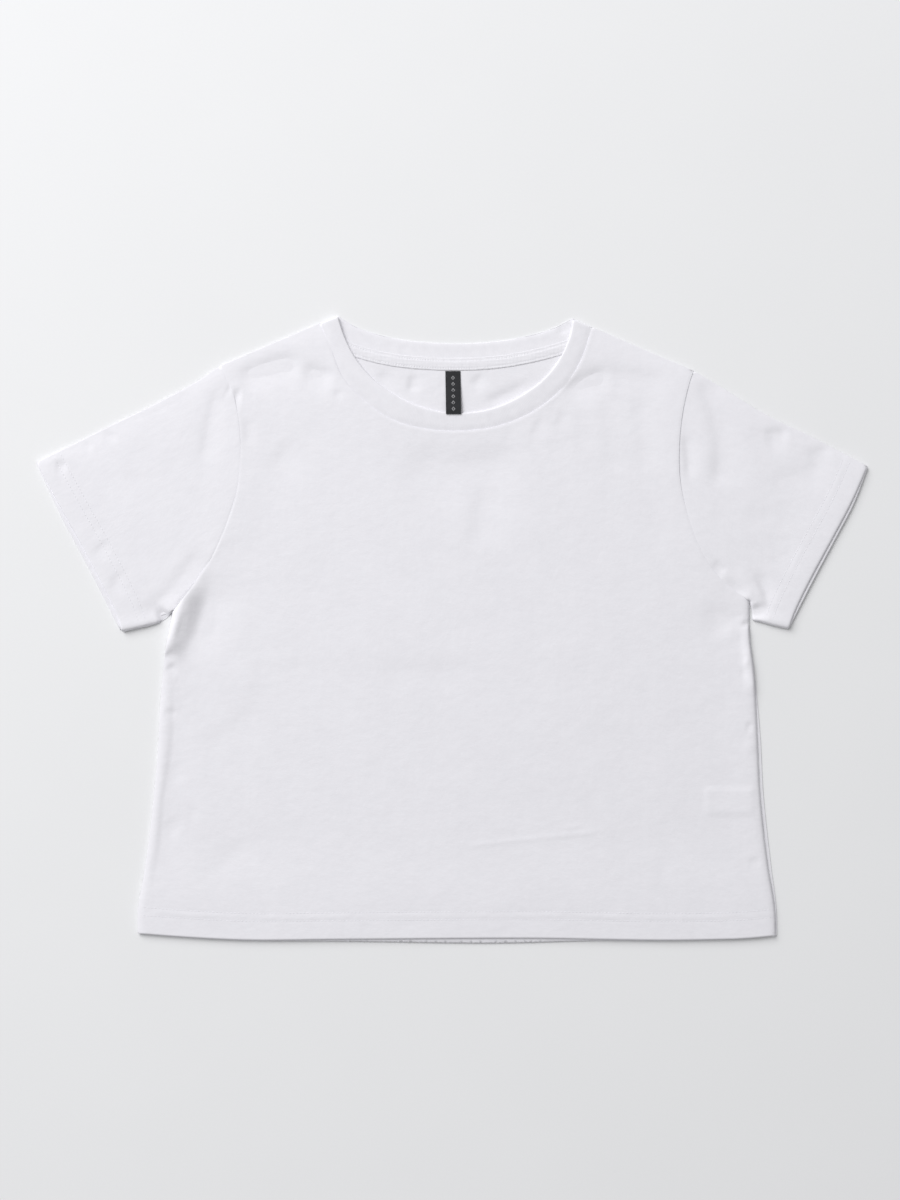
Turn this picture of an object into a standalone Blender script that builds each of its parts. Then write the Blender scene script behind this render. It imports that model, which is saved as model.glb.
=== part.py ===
"""Crop top in white cotton jersey, laid flat face up with its sleeves spread.

Frame: +X runs to the wearer's left, +Y to the neck and +Z up from the surface.
The origin is under the middle of the garment's box. Tables are in millimetres.
The back panel lies on the surface, the front panel lies on it, each sleeve is a
flattened tube with a fold along its top, and the neckband is one flattened ring.
"""
import bmesh
import bpy
import numpy as np
from mathutils import Vector
from mathutils.geometry import delaunay_2d_cdt

MM = 0.001

# Cloth, in millimetres
WALL = 1.0              # a single layer of jersey, tape or label
HEM_WALL = 2.0          # jersey turned up double
HEM_DEPTH = 20.0        # depth of the body and sleeve hems
BAND_WALL = 1.5         # rib folded double
SEAM_GAP = 0.3          # between pieces that are sewn together
LAY_GAP = 0.3           # between pieces that lie on each other

# Heights of upper faces above the surface
BACK_TOP = WALL
BODY_TOP = 3.0          # front panel over the flat middle of the back
HEM_TOP = 4.5           # front hem over the back hem
SEAM_TOP = 3.9          # front panel over the side seam allowances
SHOULDER_TOP = 3.6
NECK_TOP = 4.3          # front panel where it joins the band
EDGE_TOP = 2.6          # rim of the front panel along a side or shoulder
EDGE_BOTTOM = BACK_TOP + LAY_GAP
SLEEVE_TOP = 3.5
CUFF_TOP = 4.8
ARMHOLE_TOP = 3.8
ROLL = 7.0              # width over which an edge rounds down
SEAM_REACH = 30.0       # how far the side seam lifts the front panel
NECK_REACH = 70.0       # how far the band lifts the front panel
HEM_REACH = 14.0        # the front panel settles over this length above its hem

BAND_FRONT_TOP = 4.6
TAPE_BELOW = 4.3        # reach of the tape to each side of the back seam
TAPE_ABOVE = 6.1
TAPE_BOTTOM = BAND_WALL + LAY_GAP

LABEL_WIDTH = 12.0
LABEL_X = 1.3
CARE_LABEL = (203.0, 241.0, -147.5, -126.5)   # low x, high x, low y, high y
CARE_LABEL_LIFT = 0.9
CARE_LABEL_REACH = 8.0

# Corners, as (x, y)
NECK_RIGHT = (-91.4, 251.3)         # top of the band at the wearer's right
NECK_LEFT = (97.2, 249.4)
COLLAR_RIGHT = (-105.3, 246.0)      # where band and shoulder meet
COLLAR_LEFT = (111.8, 242.8)
SHOULDER_RIGHT = (-186.4, 211.2)
SHOULDER_LEFT = (193.3, 207.8)
UNDERARM_RIGHT = (-223.4, 14.5)
UNDERARM_LEFT = (238.4, 23.0)
CUFF_TIP_RIGHT = (-333.0, 133.8)
CUFF_TIP_LEFT = (333.0, 131.0)
CUFF_LOW_RIGHT = (-264.8, 1.6)
CUFF_LOW_LEFT = (267.6, 2.2)

# Curves between the corners, as (x, y)
FRONT_HEM = ((-251.6, -243.0), (-217.0, -245.6), (-170.0, -248.0), (-90.0, -247.6),
             (60.0, -246.7), (198.0, -248.0), (240.0, -246.6), (259.6, -244.6))
BACK_HEM = ((-250.4, -243.6), (-170.0, -248.6), (-70.0, -249.8), (35.0, -251.0),
            (120.0, -249.0), (198.0, -248.4), (260.6, -244.8))
SIDE_RIGHT = ((-251.6, -243.0), (-251.6, -226.0), (-246.5, -195.0), (-239.6, -142.0),
              (-235.2, -90.0), (-232.8, -48.0), (-229.6, -18.0), UNDERARM_RIGHT)
SIDE_LEFT = ((259.6, -244.6), (259.0, -226.0), (253.4, -190.0), (247.0, -130.0),
             (244.8, -84.0), (242.0, -34.0), (238.4, -2.0), UNDERARM_LEFT)
BACK_SIDE_LEFT = ((260.6, -244.8), (260.2, -226.0), (255.8, -190.0), (249.4, -130.0),
                  (247.0, -84.0), (242.4, -34.0), (238.6, -2.0), UNDERARM_LEFT)
ARMHOLE_RIGHT = (UNDERARM_RIGHT, (-206.5, 37.0), (-194.0, 56.0), (-179.5, 88.0),
                 (-172.0, 112.0), (-169.6, 140.0), (-171.0, 168.0), (-175.6, 190.0),
                 SHOULDER_RIGHT)
ARMHOLE_LEFT = (UNDERARM_LEFT, (216.0, 40.0), (203.6, 56.0), (190.0, 88.0),
                (182.8, 118.0), (181.8, 146.0), (184.6, 174.0), (189.2, 195.0),
                SHOULDER_LEFT)
SLEEVE_FOLD_RIGHT = (SHOULDER_RIGHT, (-201.6, 200.8), (-233.6, 183.2), (-281.6, 159.6),
                     CUFF_TIP_RIGHT)
SLEEVE_LOW_RIGHT = (UNDERARM_RIGHT, CUFF_LOW_RIGHT)
SLEEVE_LOW_LEFT = (UNDERARM_LEFT, (252.4, 14.8), CUFF_LOW_LEFT)
SLEEVE_FOLD_LEFT = (SHOULDER_LEFT, (214.4, 195.4), (246.4, 175.4), (294.4, 151.6),
                    CUFF_TIP_LEFT)
FRONT_NECK = (COLLAR_RIGHT, (-97.4, 226.4), (-88.4, 203.6), (-73.2, 186.0),
              (-49.0, 168.8), (-18.0, 160.4), (9.0, 159.3), (34.0, 162.5),
              (60.0, 172.0), (83.0, 188.0), (98.8, 206.9), (107.0, 224.8), COLLAR_LEFT)
FRONT_OPENING = (NECK_RIGHT, (-86.6, 236.2), (-78.8, 220.0), (-66.0, 203.8),
                 (-41.0, 185.6), (-14.0, 175.6), (10.0, 173.8), (32.0, 177.2),
                 (56.0, 188.0), (76.0, 203.4), (90.4, 224.8), (95.6, 239.2), NECK_LEFT)
BACK_OPENING = (NECK_RIGHT, (-79.2, 243.6), (-64.0, 237.8), (-43.0, 233.0),
                (-17.0, 230.2), (9.0, 229.5), (35.0, 231.2), (58.0, 234.8),
                (81.0, 241.2), NECK_LEFT)
BACK_NECK = (COLLAR_RIGHT, (-101.5, 237.5), (-93.0, 229.5), (-80.0, 223.6),
             (-62.0, 218.2), (-38.0, 214.0), (-14.0, 212.2), (9.0, 211.9),
             (35.0, 213.4), (60.0, 217.4), (84.0, 223.4), (98.5, 228.3),
             (107.6, 233.5), COLLAR_LEFT)

# Large folds of the front panel: the line it follows, half its width, its rise
FOLDS = (
    (((-193.0, 47.0), (-205.0, 16.0), (-219.0, -16.0)), 7.0, -1.3),
    (((-161.0, 212.0), (-127.0, 224.0), (-100.0, 209.0)), 6.0, -0.7),
    (((89.0, 195.0), (111.0, 209.0), (150.0, 208.0)), 6.0, -0.7),
    (((-146.0, -37.0), (-60.0, -31.0), (28.0, -30.0)), 8.0, -0.5),
    (((-148.0, -37.0), (-162.0, -66.0), (-205.0, -95.0)), 8.0, -0.5),
    (((-160.0, -170.0), (-182.0, -185.0), (-206.0, -204.0)), 8.0, -0.5),
    (((12.0, -173.0), (118.0, -162.0)), 8.0, 0.4),
)

# Colours and finish of each material: red, green, blue, roughness
FINISHES = {
    "jersey": (0.80, 0.79, 0.82, 0.90),
    "rib": (0.81, 0.80, 0.83, 0.90),
    "tape": (0.80, 0.79, 0.82, 0.85),
    "woven_label": (0.022, 0.024, 0.028, 0.75),
    "care_label": (0.82, 0.82, 0.83, 0.60),
}

# How finely the cloth is divided
CURVE_SAMPLES = 20      # points on a smooth curve for each point that it is given
BOUNDARY_STEP = 14.0
GRID_STEP = 24.0
BACK_GRID_STEP = 60.0
FOLD_STEP = 12.0
HEM_STEP = 1.0          # width over which a hem goes from double to single cloth
CLOSEST = 0.9           # least spacing of inner points, as a share of the roll
SLACK = 0.3             # tolerance of distances to an outline
ON_LINE = 0.01          # the same to a stitched line
BAND_STATIONS = 34
TURN_STATIONS = 5
SLEEVE_SECTIONS = 8
MAIN_SAMPLES = 12       # points along a sleeve's edge above its hem
HEM_SAMPLES = 5         # and along it within the hem
BAND_SIDES = 5          # points round one section of the neckband
HEM_SHARES = (0.05, 0.5, 1.0)
RIM_DROPS = (0.0, 0.9, 0.2)     # fall of a sleeve's upper face at its outermost points
INNER_DROPS = (0.45, 0.75, 0.9)  # share of the hollow's height at its outermost points
RIM_EXTRA = 0.6
BAND_ROUND = 0.8                # rounding of the band's free edge
TAPE_SHARES = (0.12, 0.885)     # the stretch of the back seam that the tape covers
LABEL_RISE = ((206.0, 1.3), (196.0, 1.9), (184.0, 3.4), (176.6, 4.9), (172.8, 4.9))
# Shares of an armhole's length, from underarm to shoulder, where sections have points
RIM_SHARES = (0.0, 0.007, 0.026)
MIDDLE_SHARES = tuple(0.026 + 0.948 * step / 15 for step in range(1, 15))
ARM_SHARES = RIM_SHARES + MIDDLE_SHARES + tuple(1.0 - share for share in RIM_SHARES[::-1])


def clear_scene():
    for scene_object in list(bpy.data.objects):
        bpy.data.objects.remove(scene_object)


def material(name):
    red, green, blue, roughness = FINISHES[name]
    made = bpy.data.materials.new(name)
    made.use_nodes = True
    shader = made.node_tree.nodes["Principled BSDF"]
    shader.inputs["Base Color"].default_value = (red, green, blue, 1.0)
    shader.inputs["Roughness"].default_value = roughness
    return made


def add_object(name, vertices, faces, finish):
    """A named object from points in millimetres, its faces turned outward."""
    mesh = bpy.data.meshes.new(name)
    mesh.from_pydata([tuple(MM * value for value in point) for point in vertices], [], faces)
    shape = bmesh.new()
    shape.from_mesh(mesh)
    bmesh.ops.recalc_face_normals(shape, faces=shape.faces)
    shape.to_mesh(mesh)
    shape.free()
    mesh.materials.append(finish)
    made = bpy.data.objects.new(name, mesh)
    bpy.context.collection.objects.link(made)
    return made


def lengths(points):
    """Distance along a polyline to each of its points."""
    steps = np.linalg.norm(np.diff(points, axis=0), axis=1)
    return np.concatenate(([0.0], np.cumsum(steps)))


def smooth(points):
    """Close points on a smooth curve through the given ones."""
    points = np.array(points, dtype=float)
    if len(points) == 2:
        return points
    knots = lengths(points)
    slopes = np.gradient(points, knots, axis=0)
    places = np.linspace(0.0, knots[-1], CURVE_SAMPLES * len(points))
    span = np.clip(np.searchsorted(knots, places, side="right") - 1, 0, len(knots) - 2)
    width = knots[span + 1] - knots[span]
    s = ((places - knots[span]) / width)[:, None]
    width = width[:, None]
    return ((1 + 2 * s) * (1 - s) ** 2 * points[span] + s * (1 - s) ** 2 * width * slopes[span]
            + s * s * (3 - 2 * s) * points[span + 1] + s * s * (s - 1) * width * slopes[span + 1])


def at_shares(points, shares):
    """Points at shares of the length of the smooth curve through the given points."""
    curve = smooth(points)
    run = lengths(curve)
    places = np.array(shares) * run[-1]
    return np.column_stack([np.interp(places, run, curve[:, axis]) for axis in (0, 1)])


def evenly(points, step):
    """Points about a step apart on the smooth curve through the given points."""
    count = max(1, round(lengths(smooth(points))[-1] / step))
    return at_shares(points, np.linspace(0.0, 1.0, count + 1))


def evenly_closed(outline):
    """Points round a closed outline, a boundary step apart."""
    closed = np.vstack((outline, outline[:1]))
    run = lengths(closed)
    places = np.arange(0.0, run[-1], BOUNDARY_STEP)
    return np.column_stack([np.interp(places, run, closed[:, axis]) for axis in (0, 1)])


def shifted(points, distance):
    """A polyline moved to its left by a distance."""
    points = np.array(points, dtype=float)
    heading = np.gradient(points, axis=0)
    heading /= np.linalg.norm(heading, axis=1)[:, None]
    return points + distance * np.column_stack((-heading[:, 1], heading[:, 0]))


def distance_to(points, line):
    """Shortest distance from each point to a polyline."""
    points = np.asarray(points, dtype=float)
    nearest = np.full(len(points), np.inf)
    for start, end in zip(line[:-1], line[1:]):
        along = end - start
        share = np.clip((points - start) @ along / max(along @ along, 1e-9), 0.0, 1.0)
        gap = np.linalg.norm(points - (start + share[:, None] * along), axis=1)
        nearest = np.minimum(nearest, gap)
    return nearest


def ease(value):
    """0 below 0, 1 above 1 and smooth between."""
    value = np.clip(value, 0.0, 1.0)
    return value * value * (3.0 - 2.0 * value)


def without_doubles(points, least=0.05):
    kept = [points[0]]
    for point in points[1:]:
        if np.linalg.norm(point - kept[-1]) > least:
            kept.append(point)
    if np.linalg.norm(kept[0] - kept[-1]) <= least:
        kept.pop()
    return np.array(kept)


def body_outline(hem, side_left, neck):
    """Outline of a body panel, counter-clockwise from the wearer's right hem corner."""
    side_right = (hem[0],) + SIDE_RIGHT[1:]
    pieces = (
        evenly(hem, BOUNDARY_STEP),
        evenly(side_left, BOUNDARY_STEP),
        at_shares(ARMHOLE_LEFT, ARM_SHARES),
        evenly((SHOULDER_LEFT, tuple(neck[-1])), BOUNDARY_STEP),
        neck[::-1],
        evenly((tuple(neck[0]), SHOULDER_RIGHT), BOUNDARY_STEP),
        at_shares(ARMHOLE_RIGHT, ARM_SHARES)[::-1],
        evenly(side_right, BOUNDARY_STEP)[::-1],
    )
    return without_doubles(np.vstack(pieces))


def band_curve(points):
    """Stations along one edge of the band, from the wearer's right to left."""
    return at_shares(points, np.linspace(0.0, 1.0, BAND_STATIONS + 1))


def neck_edge(seam):
    """The edge of a body panel along the band, a seam's gap outside the band."""
    edge = shifted(band_curve(seam), -SEAM_GAP)
    for end, free_end in ((0, NECK_RIGHT), (-1, NECK_LEFT)):
        corner = np.array(seam[end])
        away = corner - np.array(free_end)
        edge[end] = corner + SEAM_GAP * away / np.linalg.norm(away)
    return edge


def grid_inside(outline, step, rim):
    """Staggered grid points inside an outline and at least a rim away from it."""
    low = outline.min(axis=0)
    high = outline.max(axis=0)
    rows = []
    for row, y in enumerate(np.arange(low[1] + step / 2, high[1], step)):
        start = low[0] + (step / 2 if row % 2 else step)
        xs = np.arange(start, high[0], step)
        rows.append(np.column_stack((xs, np.full(len(xs), y))))
    points = np.vstack(rows)
    closed = np.vstack((outline, outline[:1]))
    inside = np.zeros(len(points), dtype=bool)
    for (x0, y0), (x1, y1) in zip(closed[:-1], closed[1:]):
        if y0 == y1:
            continue
        crosses = (points[:, 1] < y0) != (points[:, 1] < y1)
        reach = x0 + (points[:, 1] - y0) * (x1 - x0) / (y1 - y0)
        inside ^= crosses & (points[:, 0] < reach)
    points = points[inside]
    return points[distance_to(points, closed) >= rim]


def thinned(groups, spacing):
    """Points of all groups, leaving out those too near one already taken."""
    taken = np.empty((0, 2))
    for points in groups:
        for point in points:
            if len(taken) == 0 or np.linalg.norm(taken - point, axis=1).min() >= spacing:
                taken = np.vstack((taken, point))
    return taken


def panel(name, outline, inner, upper, lower, finish):
    """A closed sheet over an outline between two surfaces given as functions."""
    flat = [Vector(point) for point in np.vstack((outline, inner))]
    count = len(outline)
    rim = [(index, (index + 1) % count) for index in range(count)]
    points, _, triangles, *_ = delaunay_2d_cdt(flat, rim, [], 1, 1e-5)
    plan = np.array([tuple(point) for point in points])
    size = len(plan)
    vertices = np.vstack((np.column_stack((plan, upper(plan))),
                          np.column_stack((plan, lower(plan)))))
    faces = [tuple(triangle) for triangle in triangles]
    used = {(a, b) for a, b, c in faces for a, b in ((a, b), (b, c), (c, a))}
    walls = [(b, a, a + size, b + size) for a, b in used if (b, a) not in used]
    faces += [(c + size, b + size, a + size) for a, b, c in triangles]
    return add_object(name, vertices, faces + sorted(walls), finish)


def back_top(plan):
    """Upper face of the back: single jersey, and double in the hem."""
    hem = smooth(BACK_HEM)
    in_hem = distance_to(plan, hem) <= HEM_DEPTH + ON_LINE
    return np.where(in_hem, HEM_WALL, BACK_TOP)


def front_top(plan):
    """Upper face of the front, lifted by hems, seams and folds and rolled down at its rim."""
    sides = np.minimum(distance_to(plan, smooth(SIDE_RIGHT)), distance_to(plan, smooth(SIDE_LEFT)))
    arms = np.minimum(distance_to(plan, smooth(ARMHOLE_RIGHT)),
                      distance_to(plan, smooth(ARMHOLE_LEFT)))
    shoulders = np.minimum(distance_to(plan, np.array((COLLAR_RIGHT, SHOULDER_RIGHT))),
                           distance_to(plan, np.array((COLLAR_LEFT, SHOULDER_LEFT))))
    hem = distance_to(plan, smooth(FRONT_HEM))
    neck = distance_to(plan, smooth(FRONT_NECK))
    top = np.full(len(plan), BODY_TOP)
    top = np.maximum(top, SEAM_TOP - (SEAM_TOP - BODY_TOP) * ease(sides / SEAM_REACH))
    top = np.maximum(top, ARMHOLE_TOP - (ARMHOLE_TOP - BODY_TOP) * ease(arms / SEAM_REACH))
    top = np.maximum(top, SHOULDER_TOP - (SHOULDER_TOP - BODY_TOP) * ease(shoulders / SEAM_REACH))
    top = np.maximum(top, NECK_TOP - (NECK_TOP - BODY_TOP) * ease(neck / NECK_REACH))
    for line, half_width, rise in FOLDS:
        top += rise * np.exp(-(distance_to(plan, smooth(line)) / half_width) ** 2)
    low_x, high_x, low_y, high_y = CARE_LABEL
    outside = np.maximum.reduce((low_x - plan[:, 0], plan[:, 0] - high_x,
                                 low_y - plan[:, 1], plan[:, 1] - high_y))
    top += CARE_LABEL_LIFT * (1.0 - ease(outside / CARE_LABEL_REACH))
    above_hem = ease((hem - HEM_DEPTH - HEM_REACH) / HEM_REACH)
    top = HEM_TOP + (top - HEM_TOP) * above_hem
    rolled = EDGE_TOP + (top - EDGE_TOP) * ease(np.minimum(sides, shoulders) / ROLL)
    return np.where(hem <= HEM_DEPTH + HEM_REACH, top, rolled)


def front_bottom(plan):
    """Lower face of the front, clear of the back and double in the hem."""
    hem = distance_to(plan, smooth(FRONT_HEM))
    wall = np.where(hem <= HEM_DEPTH + ON_LINE, HEM_WALL, WALL)
    return np.maximum(front_top(plan) - wall, EDGE_BOTTOM)


def hem_rows(hem, outline):
    """Points along the stitched line of a hem, just below it and just above it."""
    rows = [shifted(evenly(hem, BOUNDARY_STEP), HEM_DEPTH + extra) for extra in (0.0, HEM_STEP)]
    points = np.vstack(rows)
    return points[distance_to(points, np.vstack((outline, outline[:1]))) >= BOUNDARY_STEP / 2]


def fold_rows():
    """Points along each fold and on both of its flanks."""
    rows = []
    for line, half_width, _ in FOLDS:
        middle = evenly(line, FOLD_STEP)
        rows += [middle, shifted(middle, half_width), shifted(middle, -half_width)]
    return np.vstack(rows)


def label_rows():
    """Points round the care label, so that the front rises over it."""
    low_x, high_x, low_y, high_y = CARE_LABEL
    xs = np.arange(low_x - CARE_LABEL_REACH, high_x - CARE_LABEL_REACH, CARE_LABEL_REACH)
    ys = (low_y - CARE_LABEL_REACH, low_y, high_y, high_y + CARE_LABEL_REACH)
    return np.array([(x, y) for y in ys for x in xs])


def build_back(finish):
    outline = body_outline(BACK_HEM, BACK_SIDE_LEFT, neck_edge(BACK_NECK))
    rows = hem_rows(BACK_HEM, outline)
    grid = grid_inside(outline, BACK_GRID_STEP, BACK_GRID_STEP / 2)
    grid = grid[distance_to(grid, smooth(BACK_HEM)) > HEM_DEPTH + BACK_GRID_STEP / 2]
    panel("back", outline, np.vstack((rows, grid)), back_top,
          lambda plan: np.zeros(len(plan)), finish)


def build_front(finish):
    outline = body_outline(FRONT_HEM, SIDE_LEFT, neck_edge(FRONT_NECK))
    closed = np.vstack((outline, outline[:1]))
    rolled = shifted(evenly_closed(outline), ROLL)
    rolled = rolled[distance_to(rolled, closed) >= ROLL - SLACK]
    grid = grid_inside(outline, GRID_STEP, GRID_STEP / 2)
    extra = np.vstack((fold_rows(), label_rows()))
    extra = extra[distance_to(extra, closed) >= ROLL]
    groups = (hem_rows(FRONT_HEM, outline), extra, rolled, grid)
    rows = groups[0]
    rest = thinned(groups[1:], ROLL * CLOSEST)
    rest = rest[distance_to(rest, rows[:len(rows) // 2]) >= ROLL * CLOSEST]
    panel("front", outline, np.vstack((rows, rest)), front_top, front_bottom, finish)


def cut_from_end(points, distance):
    """A smooth curve in two parts, the second of the given length."""
    curve = smooth(points)
    run = lengths(curve)
    share = 1.0 - distance / run[-1]
    first = at_shares(points, np.linspace(0.0, share, MAIN_SAMPLES))
    second = at_shares(points, np.linspace(share, 1.0, HEM_SAMPLES))
    return first, second


def sleeve_rows(armhole, low_edge, fold, side):
    """Rows across a sleeve in plan, from the armhole to the cuff, with each row's wall."""
    low_main, low_hem = cut_from_end(low_edge, HEM_DEPTH)
    fold_main, fold_hem = cut_from_end(fold, HEM_DEPTH)
    shares = np.array(ARM_SHARES)[:, None]
    seam = at_shares(armhole, ARM_SHARES)
    gap = shifted(seam, side * SEAM_GAP) - seam
    stitched = (1 - shares) * low_hem[0] + shares * fold_hem[0]
    cuff = (1 - shares) * low_hem[-1] + shares * fold_hem[-1]
    rows = []
    for share in np.linspace(0.0, 1.0, SLEEVE_SECTIONS + 1):
        row = coons_row(seam, stitched, low_main, fold_main, share)
        rows.append((row + (1 - share) * gap, WALL))
    for share in HEM_SHARES:
        rows.append((coons_row(stitched, cuff, low_hem, fold_hem, share), HEM_WALL))
    return rows


def coons_row(first, last, low_edge, fold, share):
    """One row of the patch between two rows, bounded by the low edge and the fold."""
    along = np.array(ARM_SHARES)[:, None]
    low_slack = at_shares(low_edge, (share,)) - ((1 - share) * first[0] + share * last[0])
    fold_slack = at_shares(fold, (share,)) - ((1 - share) * first[-1] + share * last[-1])
    ruled = (1 - share) * first + share * last
    return ruled + (1 - along) * low_slack + along * fold_slack


def sleeve_ring(row, wall, top):
    """Outer and inner loops of one section of the flattened tube."""
    last = len(row) - 1
    drop = np.zeros(last + 1)
    for place, fall in enumerate(RIM_DROPS):
        drop[place] = drop[last - place] = fall
    outer_top = top - drop
    outer_top[[0, last]] = top / 2
    inner = row.copy()
    for place in range(len(RIM_DROPS)):
        for end, anchor in ((place, len(RIM_DROPS)), (last - place, last - len(RIM_DROPS))):
            inward = row[anchor] - row[end]
            inner[end] += (wall + RIM_EXTRA) * inward / np.linalg.norm(inward)
    inner_top = np.full(last + 1, top - wall)
    for place, fall in enumerate(INNER_DROPS):
        inner_top[place] = inner_top[last - place] = wall + (top - 2 * wall) * fall
    outer_loop = list(np.column_stack((row, outer_top)))
    inner_loop = list(np.column_stack((inner, inner_top)))
    for place in range(last - 1, 0, -1):
        outer_loop.append(np.append(row[place], 0.0))
        inner_loop.append(np.append(inner[place], wall))
    return outer_loop, inner_loop


def build_sleeve(name, armhole, low_edge, fold, side, finish):
    """A flattened tube from the armhole to the cuff, open at both ends."""
    rows = sleeve_rows(armhole, low_edge, fold, side)
    outers = []
    inners = []
    for index, (row, wall) in enumerate(rows):
        from_armhole = index / SLEEVE_SECTIONS
        top = SLEEVE_TOP + (ARMHOLE_TOP - SLEEVE_TOP) * (1.0 - ease(2.0 * from_armhole))
        top += (CUFF_TOP - top) * ease(2.0 * from_armhole - 1.0)
        outer, inner = sleeve_ring(row, wall, top)
        outers.append(outer)
        inners.append(inner)
    loop = len(outers[0])
    sections = len(rows)
    vertices = np.vstack(outers + inners)
    inner_start = sections * loop
    faces = []
    for section in range(sections - 1):
        for place in range(loop):
            after = (place + 1) % loop
            near = section * loop
            far = near + loop
            faces.append((near + place, near + after, far + after, far + place))
            near += inner_start
            far += inner_start
            faces.append((near + after, near + place, far + place, far + after))
    for end in (0, (sections - 1) * loop):
        for place in range(loop):
            after = (place + 1) % loop
            inside = inner_start + end
            faces.append((end + after, end + place, inside + place, inside + after))
    return add_object(name, vertices, faces, finish)


def build_neckband(finish):
    """The rib ring: up the front, over a fold at each shoulder and across the back."""
    low = BAND_WALL / 2
    high = BAND_FRONT_TOP - BAND_WALL / 2
    radius = (high - low) / 2
    corners = ((NECK_LEFT, COLLAR_LEFT, 1.0), (NECK_RIGHT, COLLAR_RIGHT, -1.0))
    turns = []
    for free_end, seam_end, side in corners:
        along = np.array(seam_end) - np.array(free_end)
        along /= np.linalg.norm(along)
        outward = side * np.array((-along[1], along[0]))
        inset = -(radius + BAND_WALL / 2) * outward
        turns.append((np.array(free_end) + inset, np.array(seam_end) + inset, outward))
    edges = {}
    for half, free, seam in (("front", FRONT_OPENING, FRONT_NECK),
                             ("back", BACK_OPENING, BACK_NECK)):
        free_edge = band_curve(free)
        seam_edge = band_curve(seam)
        free_edge[-1], seam_edge[-1], _ = turns[0]
        free_edge[0], seam_edge[0], _ = turns[1]
        edges[half] = (free_edge, seam_edge)
    stations = []
    flat = np.zeros(2)
    for free, seam in zip(*edges["front"]):
        stations.append((free, seam, flat, np.pi / 2))
    for angle in np.linspace(np.pi / 2, -np.pi / 2, TURN_STATIONS + 2)[1:-1]:
        stations.append((*turns[0], angle))
    for free, seam in zip(*(edge[::-1] for edge in edges["back"])):
        stations.append((free, seam, flat, -np.pi / 2))
    for angle in np.linspace(-np.pi / 2, np.pi / 2, TURN_STATIONS + 2)[1:-1]:
        stations.append((*turns[1], angle))
    vertices = []
    for free, seam, outward, angle in stations:
        lean = np.append(outward * np.cos(angle), np.sin(angle))
        middle = radius * lean + (0.0, 0.0, low + radius)
        free = np.append(free, 0.0) + middle
        seam = np.append(seam, 0.0) + middle
        width = (seam - free) / np.linalg.norm(seam - free)
        inset = BAND_ROUND * width
        half_wall = lean * BAND_WALL / 2
        vertices += [free, free + inset + half_wall, seam + half_wall,
                     seam - half_wall, free + inset - half_wall]
    count = len(stations)
    faces = []
    for station in range(count):
        near = station * BAND_SIDES
        far = (station + 1) % count * BAND_SIDES
        for place in range(BAND_SIDES):
            after = (place + 1) % BAND_SIDES
            faces.append((near + place, near + after, far + after, far + place))
    return add_object("neckband", vertices, faces, finish)


def level(height):
    """A flat surface at a height."""
    return lambda plan: np.full(len(plan), height)


def build_neck_tape(finish):
    """The strip over the seam between the back and the band."""
    middle = at_shares(BACK_NECK, np.linspace(*TAPE_SHARES, BAND_STATIONS + 1))
    outline = np.vstack((shifted(middle, -TAPE_BELOW), shifted(middle, TAPE_ABOVE)[::-1]))
    panel("neck_tape", outline, np.empty((0, 2)), level(TAPE_BOTTOM + WALL),
          level(TAPE_BOTTOM), finish)


def build_neck_label(finish):
    """The woven label: from the tape it lies down, then rests its tip on the front band."""
    half = LABEL_WIDTH / 2
    vertices = []
    for y, bottom in LABEL_RISE:
        for x in (LABEL_X - half, LABEL_X + half):
            vertices += [(x, y, bottom), (x, y, bottom + WALL)]
    last = len(vertices) - 4
    faces = [(0, 2, 3, 1), (last, last + 1, last + 3, last + 2)]
    for near in range(0, last, 4):
        far = near + 4
        for a, b in ((0, 1), (1, 3), (3, 2), (2, 0)):
            faces.append((near + a, near + b, far + b, far + a))
    add_object("neck_label", vertices, faces, finish)


def build_care_label(finish):
    low_x, high_x, low_y, high_y = CARE_LABEL
    outline = np.array(((low_x, low_y), (high_x, low_y), (high_x, high_y), (low_x, high_y)))
    bottom = BACK_TOP + LAY_GAP
    panel("care_label", outline, np.empty((0, 2)), level(bottom + WALL), level(bottom), finish)


def main():
    clear_scene()
    finishes = {name: material(name) for name in FINISHES}
    build_back(finishes["jersey"])
    build_front(finishes["jersey"])
    build_sleeve("sleeve_right", ARMHOLE_RIGHT, SLEEVE_LOW_RIGHT, SLEEVE_FOLD_RIGHT, 1.0,
                 finishes["jersey"])
    build_sleeve("sleeve_left", ARMHOLE_LEFT, SLEEVE_LOW_LEFT, SLEEVE_FOLD_LEFT, -1.0,
                 finishes["jersey"])
    build_neckband(finishes["rib"])
    build_neck_tape(finishes["tape"])
    build_neck_label(finishes["woven_label"])
    build_care_label(finishes["care_label"])


main()
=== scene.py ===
"""Looks of the crop top laid flat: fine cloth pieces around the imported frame.

Lengths in the tables are millimetres in the frame's own axes: +X to the wearer's
left, +Y to the neck, +Z up from the surface. MM turns them into scene units.
"""
import math

import bpy
import numpy as np
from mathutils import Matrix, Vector
from mathutils.geometry import delaunay_2d_cdt


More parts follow.
